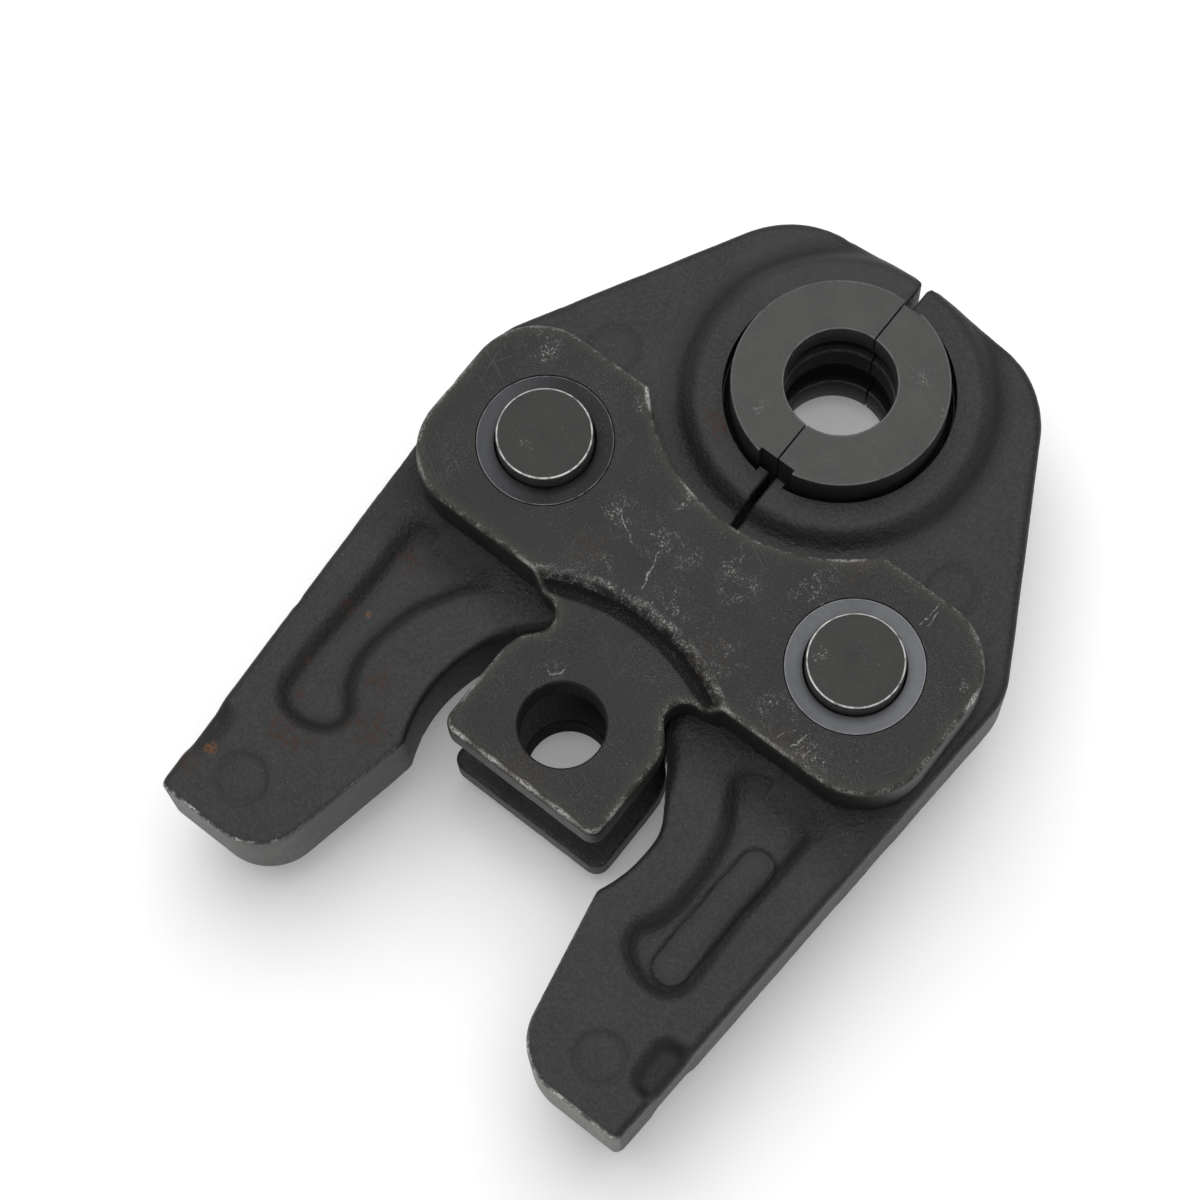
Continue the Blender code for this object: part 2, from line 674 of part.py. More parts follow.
def make_insert(side):
    """Half of the split die, cut at the split, with a keyway at each end for the seat's ears."""
    insert = turned("insert", insert_profile(), (0.0, DIE_Y), 48)
    reach = INSERT_RADIUS + CUT_OVERRUN
    tall = INSERT_FACE + CUT_OVERRUN
    inner = side * CLEARANCE / 2
    far = -side * reach
    low = (min(inner, far), DIE_Y - reach, -tall)
    high = (max(inner, far), DIE_Y + reach, tall)
    combine(insert, "DIFFERENCE", block("other_half", low, high))
    key = CHANNEL_HALF + EAR_WIDTH + CLEARANCE
    shelf = SEAT_RADIUS - EAR_REACH - CLEARANCE
    for lengthwise in (-1, 1):
        near = DIE_Y + lengthwise * shelf
        end = DIE_Y + lengthwise * reach
        low = (-key, min(near, end), -tall)
        high = (key, max(near, end), tall)
        combine(insert, "DIFFERENCE", block("keyway", low, high))
    dimple = SEAT_RADIUS - LOCK_PIN_REACH - CLEARANCE
    hole = lock_cylinder("dimple", LOCK_HOLE_RADIUS, dimple, INSERT_RADIUS + CUT_OVERRUN, side)
    combine(insert, "DIFFERENCE", hole)
    origin = (side * PIVOT_X, PIVOT_Y, 0.0)
    finish_piece(insert, side_name(side) + "_die_insert", INSERT_OXIDE, origin)


def make_lock_pin(side):
    """The detent pin that reaches from the seat's wall into the insert's dimple."""
    nose = SEAT_RADIUS - LOCK_PIN_REACH
    tail = nose + LOCK_PIN_LENGTH
    profile = [
        (0.0, tail),
        (LOCK_PIN_RADIUS, tail),
        (LOCK_PIN_RADIUS, nose + LOCK_PIN_DOME),
        (LOCK_PIN_RADIUS - LOCK_PIN_DOME / 2, nose + LOCK_PIN_DOME / 4),
        (LOCK_PIN_RADIUS - LOCK_PIN_DOME, nose),
        (0.0, nose),
    ]
    pin = turned("lock_pin", profile, (0.0, 0.0), 24)
    pin.data.transform(Matrix.Rotation(math.radians(90.0) * side, 4, "Y"))
    pin.data.transform(Matrix.Translation((0.0, DIE_Y, 0.0)))
    origin = (side * PIVOT_X, PIVOT_Y, 0.0)
    finish_piece(pin, side_name(side) + "_lock_pin", PIN_STEEL, origin)


def wire(name, points, thickness):
    """A round wire along a list of points, with closed ends."""
    curve = bpy.data.curves.new(name, "CURVE")
    curve.dimensions = "3D"
    curve.bevel_depth = thickness / 2
    curve.bevel_resolution = 2
    curve.use_fill_caps = True
    spline = curve.splines.new("POLY")
    spline.points.add(len(points) - 1)
    for point, place in zip(spline.points, points):
        point.co = (*place, 1.0)
    path = bpy.data.objects.new(name + "_path", curve)
    CUTTERS.objects.link(path)
    made = as_object(evaluated_mesh(path), name, CUTTERS)
    bpy.data.objects.remove(path, do_unlink=True)
    return make_cutter(made)


def make_lock_spring(side):
    """The coil spring behind the detent pin, in the same blind hole."""
    start = SEAT_RADIUS - LOCK_PIN_REACH + LOCK_PIN_LENGTH + CLEARANCE + LOCK_SPRING_WIRE / 2
    length = LOCK_SPRING_LENGTH - LOCK_SPRING_WIRE
    radius = LOCK_PIN_RADIUS - LOCK_SPRING_WIRE / 2
    per_turn = 8
    count = LOCK_SPRING_TURNS * per_turn
    points = []
    for i in range(count + 1):
        angle = 2 * math.pi * i / per_turn
        along = side * (start + length * i / count)
        points.append((along, DIE_Y + radius * math.cos(angle), radius * math.sin(angle)))
    spring = wire("lock_spring", points, LOCK_SPRING_WIRE)
    origin = (side * PIVOT_X, PIVOT_Y, 0.0)
    finish_piece(spring, side_name(side) + "_lock_spring", SPRING_STEEL, origin)


def make_closing_spring():
    """The leg spring on its pin: a coil, and a straight leg from each end to an arm."""
    per_turn = 12
    whole = int(SPRING_TURNS * per_turn)
    height = ARM_THICKNESS + 2 * CLEARANCE - 2 * SPRING_SIDE_GAP - SPRING_WIRE
    rise = height / SPRING_TURNS
    leg_end = SPRING_POCKET_RADIUS - CLEARANCE - SPRING_WIRE / 2
    right = SPRING_LEG_ANGLE
    start = right - math.acos(SPRING_COIL_RADIUS / leg_end)
    left = math.pi - right + math.acos(SPRING_COIL_RADIUS / leg_end)
    turn = left - start + 2 * math.pi * (SPRING_TURNS - 1)
    points = []
    for i in range(whole + 1):
        angle = start + turn * i / whole
        level = -height / 2 + height * i / whole
        points.append((SPRING_COIL_RADIUS * math.cos(angle),
                       SPRING_Y + SPRING_COIL_RADIUS * math.sin(angle), level))
    first = (leg_end * math.cos(right), SPRING_Y + leg_end * math.sin(right), points[0][2])
    last = (-first[0], first[1], points[-1][2])
    spring = wire("closing", [first] + points + [last], SPRING_WIRE)
    finish_piece(spring, "closing_spring", SPRING_STEEL, (0.0, SPRING_Y, 0.0))


def make_spring_pin():
    """The plain pin between the plates, with both ends in blind holes."""
    end = PLATE_INNER + SPRING_PIN_SEAT
    pin = disc("spring_pin_blank", SPRING_PIN_RADIUS, -end, end, (0.0, SPRING_Y), 32)
    finish_piece(pin, "spring_pin", PIN_STEEL, (0.0, SPRING_Y, 0.0))


def main():
    """Builds every piece of the jaw."""
    for side in (-1, 1):
        make_arm(side)
        make_insert(side)
        make_lock_pin(side)
        make_lock_spring(side)
        make_pin(side)
        for face in (-1, 1):
            make_ring(side, face)
    make_plate(1)
    make_plate(-1)
    make_spring_pin()
    make_closing_spring()


if __name__ == "__main__":
    main()
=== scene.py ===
"""The looks of a press jaw: two forged arms, two side plates, a split die insert, pins and springs.

Every shape is drawn in millimetres from the axis of the lug's bolt hole, at height 0 in the middle
of the jaw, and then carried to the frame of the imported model, which is in metres.
"""

import logging
import math
from dataclasses import dataclass
from enum import Enum
from functools import reduce
from typing import Iterable, Sequence

import bmesh
import bpy
import numpy as np
from mathutils import Matrix, Vector, noise


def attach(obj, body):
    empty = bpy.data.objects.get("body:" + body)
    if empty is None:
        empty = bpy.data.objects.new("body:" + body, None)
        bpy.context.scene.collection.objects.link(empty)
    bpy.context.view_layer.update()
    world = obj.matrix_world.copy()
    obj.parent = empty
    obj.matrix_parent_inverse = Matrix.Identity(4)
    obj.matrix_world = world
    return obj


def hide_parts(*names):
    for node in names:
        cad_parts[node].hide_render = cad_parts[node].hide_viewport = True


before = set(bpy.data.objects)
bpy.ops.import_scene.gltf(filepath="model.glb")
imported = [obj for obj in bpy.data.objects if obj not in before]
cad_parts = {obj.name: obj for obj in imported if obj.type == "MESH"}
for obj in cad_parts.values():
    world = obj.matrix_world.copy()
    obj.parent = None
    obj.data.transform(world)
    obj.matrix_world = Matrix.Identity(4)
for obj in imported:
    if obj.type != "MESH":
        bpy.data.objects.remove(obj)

LOG = logging.getLogger("press_jaw")

MM = 0.001
FRAME_SHIFT = Vector((0.0, -26.45, 21.0))
SEEN_RAYS = ("Is Camera Ray", "Is Glossy Ray", "Is Transmission Ray")

PIVOT = (31.3, 35.3)
BOLT_CENTRE = (0.0, 0.0)
DIE_CENTRE = (0.0, 73.6)
SPRING_CENTRE = (0.0, 21.5)
ARM_FACE = 8.0
PLATE_INNER = 8.3
PLATE_FACE = 17.9

Point = tuple[float, float]
Colour = tuple[float, float, float]
Array = np.ndarray
Piece = bpy.types.Object
Finish = bpy.types.Material
Socket = bpy.types.NodeSocket
Spots = tuple[tuple[float, float, float], ...]


class Side(Enum):
    """Which arm of the jaw a piece belongs to, seen from the front with the die at the top."""

    LEFT = -1
    RIGHT = 1

    @property
    def word(self) -> str:
        """The side's name as the CAD nodes spell it."""
        return self.name.lower()

    @property
    def body(self) -> str:
        """The CAD body of this side's arm."""
        return self.word + "_arm"

    @property
    def pivot(self) -> Point:
        """The axis of this side's pivot pin."""
        return (self.value * PIVOT[0], PIVOT[1])


class Face(Enum):
    """Which side plate a piece lies in."""

    FRONT = 1
    REAR = -1

    @property
    def word(self) -> str:
        """The face's name as the CAD nodes spell it."""
        return self.name.lower()


# Outlines


def arc(centre: Sequence[float], radius: float, start: float, end: float, steps: int) -> list[Point]:
    """Points along a circle.

    Args:
        centre: The circle's centre.
        radius: Its radius.
        start: First angle, in radians.
        end: Last angle, in radians.
        steps: Number of chords.

    Returns:
        The points from start to end, both included.
    """
    angles = [start + (end - start) * i / steps for i in range(steps + 1)]
    return [(centre[0] + radius * math.cos(a), centre[1] + radius * math.sin(a)) for a in angles]


def rounded(corner: Point, before: Point, after: Point, radius: float, steps: int = 10) -> list[Point]:
    """The arc that rounds a corner.

    Args:
        corner: The sharp corner.
        before: The point before it.
        after: The point after it.
        radius: The arc's radius.
        steps: Number of chords.

    Returns:
        Points from the first tangent point to the second.
    """
    here = Vector(corner)
    back = (Vector(before) - here).normalized()
    ahead = (Vector(after) - here).normalized()
    half = back.angle(ahead) / 2
    centre = here + (back + ahead).normalized() * radius / math.sin(half)
    first = here + back * radius / math.tan(half) - centre
    last = here + ahead * radius / math.tan(half) - centre
    start = math.atan2(first.y, first.x)
    turn = (math.atan2(last.y, last.x) - start + math.pi) % (2 * math.pi) - math.pi
    return arc(centre, radius, start, start + turn, steps)


def loop(knots: Sequence[Point], steps: int) -> list[Point]:
    """A smooth closed curve through its knots.

    Args:
        knots: The points that it passes through, in order.
        steps: Number of chords between two knots.

    Returns:
        The points round the curve, in one list.
    """
    points = []
    count = len(knots)
    for i in range(count):
        a, b, c, d = (np.array(knots[(i + k) % count]) for k in (-1, 0, 1, 2))
        for step in range(steps):
            s = step / steps
            place = b + 0.5 * s * (c - a + s * (2 * a - 5 * b + 4 * c - d + s * (3 * (b - c) + d - a)))
            points.append((float(place[0]), float(place[1])))
    return points


def smooth(value: Array) -> Array:
    """A soft step that leaves 0 and reaches 1 with no slope or bend."""
    t = np.clip(value, 0.0, 1.0)
    return t * t * t * (t * (t * 6.0 - 15.0) + 10.0)


def away_from(x: Array, y: Array, centre: Point) -> Array:
    """Distance from each point to a place in the plane."""
    return np.hypot(x - centre[0], y - centre[1])


def segment_distance(x: Array, y: Array, outline: Sequence[Point], closed: bool = True) -> Array:
    """Unsigned distance from each point to a polyline.

    Args:
        x: First coordinates.
        y: Second coordinates.
        outline: The polyline's points.
        closed: Whether the last point joins the first.

    Returns:
        Distances, of the same shape as x.
    """
    best = np.full(x.shape, 1e9)
    ends = list(outline[1:]) + ([outline[0]] if closed else [])
    for (ax, ay), (bx, by) in zip(outline, ends):
        dx, dy = bx - ax, by - ay
        length = dx * dx + dy * dy
        if length < 1e-12:
            continue
        t = np.clip(((x - ax) * dx + (y - ay) * dy) / length, 0.0, 1.0)
        best = np.minimum(best, (x - ax - t * dx) ** 2 + (y - ay - t * dy) ** 2)
    return np.sqrt(best)


def outline_distance(x: Array, y: Array, outline: Sequence[Point]) -> Array:
    """Signed distance from each point to a closed outline, negative inside it.

    Args:
        x: First coordinates.
        y: Second coordinates.
        outline: The outline's points.

    Returns:
        Distances, of the same shape as x.
    """
    inside = np.zeros(x.shape, bool)
    for (ax, ay), (bx, by) in zip(outline, list(outline[1:]) + [outline[0]]):
        if ay == by:
            continue
        crosses = (ay > y) != (by > y)
        inside ^= crosses & (x < ax + (y - ay) * (bx - ax) / (by - ay))
    distance = segment_distance(x, y, outline)
    return np.where(inside, -distance, distance)


# Meshes


def trilinear(values: Array, places: Array) -> Array:
    """Values of a regular grid at fractional grid places.

    Args:
        values: A grid with three axes, or four where each place holds a vector.
        places: Rows of three grid coordinates.

    Returns:
        One value or vector for each row.
    """
    top = np.array(values.shape[:3]) - 1.001
    p = np.clip(places, 0.0, top)
    low = p.astype(int)
    part = p - low
    result = 0.0
    for corner in range(8):
        step = np.array([corner & 1, corner >> 1 & 1, corner >> 2 & 1])
        weight = np.prod(np.where(step, part, 1.0 - part), axis=1)
        at = low + step
        found = values[at[:, 0], at[:, 1], at[:, 2]]
        result = result + (found.T * weight).T
    return result


def net(values: Array, low: Array, cell: float) -> tuple[Array, Array]:
    """The surface where a grid of values is zero, as a net of quads on the surface itself.

    Args:
        values: The grid, negative inside the solid.
        low: The grid's lowest corner, in millimetres.
        cell: The grid's spacing, in millimetres.

    Returns:
        The points in millimetres, and the quads, which face outwards.
    """
    shape = np.array(values.shape) - 1
    total = np.zeros((*shape, 3))
    count = np.zeros(shape)
    negative = values < 0
    crossings = []
    for axis in range(3):
        head = [slice(None)] * 3
        tail = [slice(None)] * 3
        head[axis], tail[axis] = slice(0, -1), slice(1, None)
        a, b = values[tuple(head)], values[tuple(tail)]
        crossing = negative[tuple(head)] != negative[tuple(tail)]
        crossings.append(crossing)
        where = np.nonzero(crossing)
        part = a[where] / (a[where] - b[where])
        place = np.stack(where, axis=1).astype(float)
        place[:, axis] += part
        others = [k for k in range(3) if k != axis]
        for back in ((0, 0), (0, 1), (1, 0), (1, 1)):
            at = np.stack(where, axis=1)
            at[:, others] -= back
            ok = ((at >= 0) & (at < shape)).all(axis=1)
            index = tuple(at[ok].T)
            np.add.at(total, index, place[ok])
            np.add.at(count, index, 1.0)
    used = count > 0
    number = np.full(shape, -1)
    number[used] = np.arange(int(used.sum()))
    points = total[used] / count[used][:, None]
    quads = []
    for axis in range(3):
        at = np.stack(np.nonzero(crossings[axis]), axis=1)
        others = [(axis + 1) % 3, (axis + 2) % 3]
        at = at[((at[:, others] > 0) & (at[:, others] < shape[others])).all(axis=1)]
        corners = []
        for back in ((1, 1), (0, 1), (0, 0), (1, 0)):
            cell_at = at.copy()
            cell_at[:, others] -= back
            corners.append(number[tuple(cell_at.T)])
        quad = np.stack(corners, axis=1)
        out = negative[tuple(at.T)]
        quad[~out] = quad[~out][:, ::-1]
        quads.append(quad)
    slope = np.stack(np.gradient(values), axis=-1)
    for _ in range(3):
        height = trilinear(values, points)
        steep = trilinear(slope, points)
        step = steep * (height / np.maximum((steep ** 2).sum(axis=1), 1e-9))[:, None]
        points = points - np.clip(step, -0.4, 0.4)
    return low + points * cell, np.concatenate(quads)


def linked(name: str, data: bpy.types.ID) -> Piece:
    """A new object with this data, linked to the scene."""
    made = bpy.data.objects.new(name, data)
    bpy.context.scene.collection.objects.link(made)
    return made


def make_object(name: str, points: Iterable[Sequence[float]],
                faces: Iterable[Sequence[int]]) -> Piece:
    """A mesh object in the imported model's frame.

    Args:
        name: The object's name.
        points: Points in millimetres, from the bolt hole's axis and the jaw's middle.
        faces: Each face's point numbers.

    Returns:
        The object, at the origin, linked to the scene.
    """
    places = (np.asarray(points, float).reshape(-1, 3) + np.array(FRAME_SHIFT)) * MM
    mesh = bpy.data.meshes.new(name)
    mesh.from_pydata(places.tolist(), [], [list(map(int, face)) for face in faces])
    mesh.update()
    return linked(name, mesh)


def plain_mesh(made: Piece) -> Piece:
    """Turns what the object's modifiers make into its own mesh.

    Args:
        made: The object, with its modifiers.

    Returns:
        The same object.
    """
    bpy.context.view_layer.update()
    graph = bpy.context.evaluated_depsgraph_get()
    mesh = bpy.data.meshes.new_from_object(made.evaluated_get(graph))
    made.modifiers.clear()
    old = made.data
    made.data = mesh
    bpy.data.meshes.remove(old)
    mesh.name = made.name
    return made


def lathe(name: str, profile: Sequence[Point], centre: Point, steps: int = 96) -> Piece:
    """A closed solid turned about a vertical axis.

    Args:
        name: The object's name.
        profile: Radius and height pairs, from the top end round to the bottom end.
        centre: The axis.
        steps: Segments in a full turn.

    Returns:
        The object.
    """
    points = []
    for radius, height in profile:
        points += [(x, y, height) for x, y in arc(centre, radius, 0.0, 2 * math.pi, steps)[:-1]]
    faces = []
    for row in range(len(profile) - 1):
        for i in range(steps):
            j = (i + 1) % steps
            faces.append((row * steps + i, (row + 1) * steps + i, (row + 1) * steps + j, row * steps + j))
    faces.append(tuple(range(steps)))
    faces.append(tuple(range(len(points) - 1, len(points) - steps - 1, -1)))
    return make_object(name, points, faces)


def stack_faces(count: int, rings: int) -> list[tuple[int, ...]]:
    """The faces of a closed stack of equal rings of points.

    Args:
        count: Points in a ring.
        rings: Number of rings.

    Returns:
        The point numbers of the two flat ends and of the quads between neighbouring rings.
    """
    faces = [tuple(range(count - 1, -1, -1)), tuple(range((rings - 1) * count, rings * count))]
    for foot in range(0, (rings - 1) * count, count):
        for i in range(count):
            j = (i + 1) % count
            faces.append((foot + i, foot + j, foot + count + j, foot + count + i))
    return faces


def column(name: str, outline: Sequence[Point], low: float, high: float) -> Piece:
    """A closed outline carried straight up between two heights.

    Args:
        name: The object's name.
        outline: Its points, anticlockwise.
        low: Height of the lower end.
        high: Height of the upper end.

    Returns:
        The object.
    """
    points = [(x, y, z) for z in (low, high) for x, y in outline]
    return make_object(name, points, stack_faces(len(outline), 2))


def rectangle(low: Point, high: Point) -> list[Point]:
    """The four corners of a rectangle, anticlockwise."""
    return [low, (high[0], low[1]), high, (low[0], high[1])]


def cut(target: Piece, *tools: Piece, operation: str = "DIFFERENCE",
        solver: str = "MANIFOLD") -> Piece:
    """Cuts solids from a solid, or joins them to it.

    Args:
        target: The solid that is changed.
        tools: The solids that are used up.
        operation: DIFFERENCE, UNION or INTERSECT.
        solver: Blender's Boolean solver.

    Returns:
        The target.
    """
    for tool in tools:
        step = target.modifiers.new("cut", "BOOLEAN")
        step.operation = operation
        step.solver = solver
        step.object = tool
        plain_mesh(target)
        bpy.data.objects.remove(tool, do_unlink=True)
    return target


def shade(made: Piece, degrees: float = 35.0) -> Piece:
    """Smooth shading that stays crisp across edges sharper than the angle."""
    made.data.shade_smooth()
    made.data.set_sharp_from_angle(angle=math.radians(degrees))
    return made


def coordinates(made: Piece) -> Array:
    """The mesh's points in millimetres from the bolt hole's axis."""
    flat = np.zeros(len(made.data.vertices) * 3, np.float32)
    made.data.vertices.foreach_get("co", flat)
    return flat.reshape(-1, 3).astype(float) / MM - np.array(FRAME_SHIFT)


def set_coordinates(made: Piece, points: Array) -> None:
    """Writes back points in millimetres from the bolt hole's axis."""
    places = (points + np.array(FRAME_SHIFT)) * MM
    made.data.vertices.foreach_set("co", places.astype(np.float32).ravel())
    made.data.update()


def normals(made: Piece) -> Array:
    """The mesh's vertex normals."""
    flat = np.zeros(len(made.data.vertices) * 3, np.float32)
    made.data.vertex_normals.foreach_get("vector", flat)
    return flat.reshape(-1, 3).astype(float)


def mark(made: Piece, name: str, values: Array) -> None:
    """Stores one number on each point, which the finish reads."""
    layer = made.data.attributes.get(name) or made.data.attributes.new(name, "FLOAT", "POINT")
    layer.data.foreach_set("value", np.asarray(values, np.float32))


def lumps(points: Array, size: float, seed: float, octaves: int = 3) -> Array:
    """Smooth noise between about -1 and 1 with lumps of a given size.

    Args:
        points: Points in millimetres.
        size: Size of the largest lumps, in millimetres.
        seed: Shifts the pattern.
        octaves: Layers of ever finer lumps.

    Returns:
        One number for each point.
    """
    shift = Vector((seed * 17.3, seed * 9.1, seed * 5.7))
    return np.array([
        noise.fractal(Vector(p) / size + shift, 0.7, 2.1, octaves, noise_basis="PERLIN_ORIGINAL")
        for p in points.tolist()
    ])


def grid_sample(field: Array, x: Array, y: Array, low: Point, cell: float) -> Array:
    """Values of a flat grid at points, read between its nodes.

    Args:
        field: The grid's values.
        x: First coordinates.
        y: Second coordinates.
        low: The grid's lowest corner.
        cell: The grid's spacing.

    Returns:
        One value for each point.
    """
    u = np.clip((x - low[0]) / cell, 0.0, field.shape[0] - 1.001)
    v = np.clip((y - low[1]) / cell, 0.0, field.shape[1] - 1.001)
    i, j = u.astype(int), v.astype(int)
    s, t = u - i, v - j
    lower = field[i, j] * (1 - s) + field[i + 1, j] * s
    upper = field[i, j + 1] * (1 - s) + field[i + 1, j + 1] * s
    return lower * (1 - t) + upper * t


@dataclass
class Relief:
    """A plate-like body: a flat outline with its own height of upper and lower surface.

    Attributes:
        low: Lowest corner of the grid.
        cell: Spacing of the grid, in millimetres.
        edge: Signed distance to the outline at each node.
        top: Height of the upper surface at each node.
        bottom: Height of the lower surface at each node.
        top_round: Radius of the upper rim at each node.
        bottom_round: Radius of the lower rim at each node.
    """

    low: Point
    cell: float
    edge: Array
    top: Array
    bottom: Array
    top_round: Array
    bottom_round: Array

    @staticmethod
    def grid(low: Point, high: Point, cell: float) -> tuple[Array, Array]:
        """Coordinates of the grid's nodes between two corners."""
        x = np.arange(low[0], high[0] + cell, cell)
        y = np.arange(low[1], high[1] + cell, cell)
        return np.meshgrid(x, y, indexing="ij")

    @staticmethod
    def rim(edge: Array, over: Array, radius: Array) -> Array:
        """Two walls met by a rounded rim: negative inside both."""
        a, b = edge + radius, over + radius
        return np.minimum(np.maximum(a, b), 0.0) + np.hypot(np.maximum(a, 0.0), np.maximum(b, 0.0)) - radius

    def solid(self, name: str) -> Piece:
        """The body as an object with a dense, even skin.

        Args:
            name: The object's name.

        Returns:
            The object.
        """
        floor = float(self.bottom.min()) - 1.5 * self.cell
        ceiling = float(self.top.max()) + 2.5 * self.cell
        z = np.arange(floor, ceiling, self.cell)
        edge = self.edge[:, :, None]
        upper = self.rim(edge, z - self.top[:, :, None], self.top_round[:, :, None])
        lower = self.rim(edge, self.bottom[:, :, None] - z, self.bottom_round[:, :, None])
        points, quads = net(np.maximum(upper, lower), np.array([*self.low, floor]), self.cell)
        return make_object(name, points, quads)

    def sample(self, field: Array, points: Array) -> Array:
        """One of the grid's fields above or below each point."""
        return grid_sample(field, points[:, 0], points[:, 1], self.low, self.cell)

    def near_rim(self, points: Array, reach: float) -> Array:
        """How close each point is to a rim: 1 on it, falling to 0 at the given reach."""
        edge = self.sample(self.edge, points)
        heights = [np.abs(points[:, 2] - self.sample(face, points)) for face in (self.top, self.bottom)]
        return np.exp(-((edge / reach) ** 2 + (np.minimum(*heights) / reach) ** 2))

    def bend(self, points: Array, reach: int) -> Array:
        """How strongly the upper or lower surface bends: above 0 on crests, below 0 in hollows.

        Args:
            points: Points in millimetres.
            reach: How many nodes away the bend is felt.

        Returns:
            One number for each point.
        """
        result = np.zeros(len(points))
        for surface, sign in ((self.top, 1.0), (self.bottom, -1.0)):
            soft = surface.copy()
            for _ in range(reach):
                soft[1:-1, 1:-1] = (soft[:-2, 1:-1] + soft[2:, 1:-1] + soft[1:-1, :-2] + soft[1:-1, 2:]) / 4
            crest = (surface - soft) * sign
            near = np.abs(points[:, 2] - self.sample(surface, points)) < 0.6
            result += np.where(near, self.sample(crest, points), 0.0)
        return result


# Finishes


class Wiring:
    """A node tree that the script draws, node by node."""

    def __init__(self, tree: bpy.types.NodeTree) -> None:
        """Takes the tree that is drawn."""
        self.tree = tree

    def put(self, socket: Socket, value: object) -> None:
        """Links a socket to another, or gives it a value.

        Args:
            socket: An input socket.
            value: An output socket, or the value.
        """
        if isinstance(value, Socket):
            self.tree.links.new(value, socket)
        else:
            socket.default_value = value

    def node(self, kind: str, links: dict[str | int, object] | None = None,
             **settings: object) -> bpy.types.Node:
        """A new node with its properties set, and its inputs linked or given a value.

        Args:
            kind: The node's type.
            links: What each input reads, by its name or number.
            settings: Its properties.

        Returns:
            The node.
        """
        made = self.tree.nodes.new(kind)
        for key, value in settings.items():
            setattr(made, key, value)
        for key, value in (links or {}).items():
            self.put(made.inputs[key], value)
        return made

    def ramp(self, value: object, low: float, high: float, to_low: float = 0.0,
             to_high: float = 1.0) -> Socket:
        """Maps low..high onto to_low..to_high, held at both ends.

        Args:
            value: What is mapped.
            low: Start of its range.
            high: End of its range.
            to_low: Result at the start.
            to_high: Result at the end.

        Returns:
            The mapped value.
        """
        links = {"Value": value, "From Min": low, "From Max": high, "To Min": to_low, "To Max": to_high}
        return self.node("ShaderNodeMapRange", links, clamp=True).outputs["Result"]

    def math(self, operation: str, *values: object) -> Socket:
        """A Math node on one, two or three values."""
        return self.node("ShaderNodeMath", dict(enumerate(values)), operation=operation).outputs["Value"]

    def fold(self, operation: str, values: Sequence[object]) -> Socket:
        """All values joined one after another by the same operation."""
        return reduce(lambda result, value: self.math(operation, result, value), values)

    def product(self, *values: object) -> Socket:
        """All values multiplied together."""
        return self.fold("MULTIPLY", values)

    def total(self, *values: object) -> Socket:
        """All values added together."""
        return self.fold("ADD", values)

    def most(self, *values: object) -> Socket:
        """The largest of all values."""
        return self.fold("MAXIMUM", values)

    def seen(self) -> Socket:
        """1 for a ray of the camera, of a reflection or of glass, 0 for the object's light."""
        path = self.node("ShaderNodeLightPath")
        return self.most(*[path.outputs[ray] for ray in SEEN_RAYS])


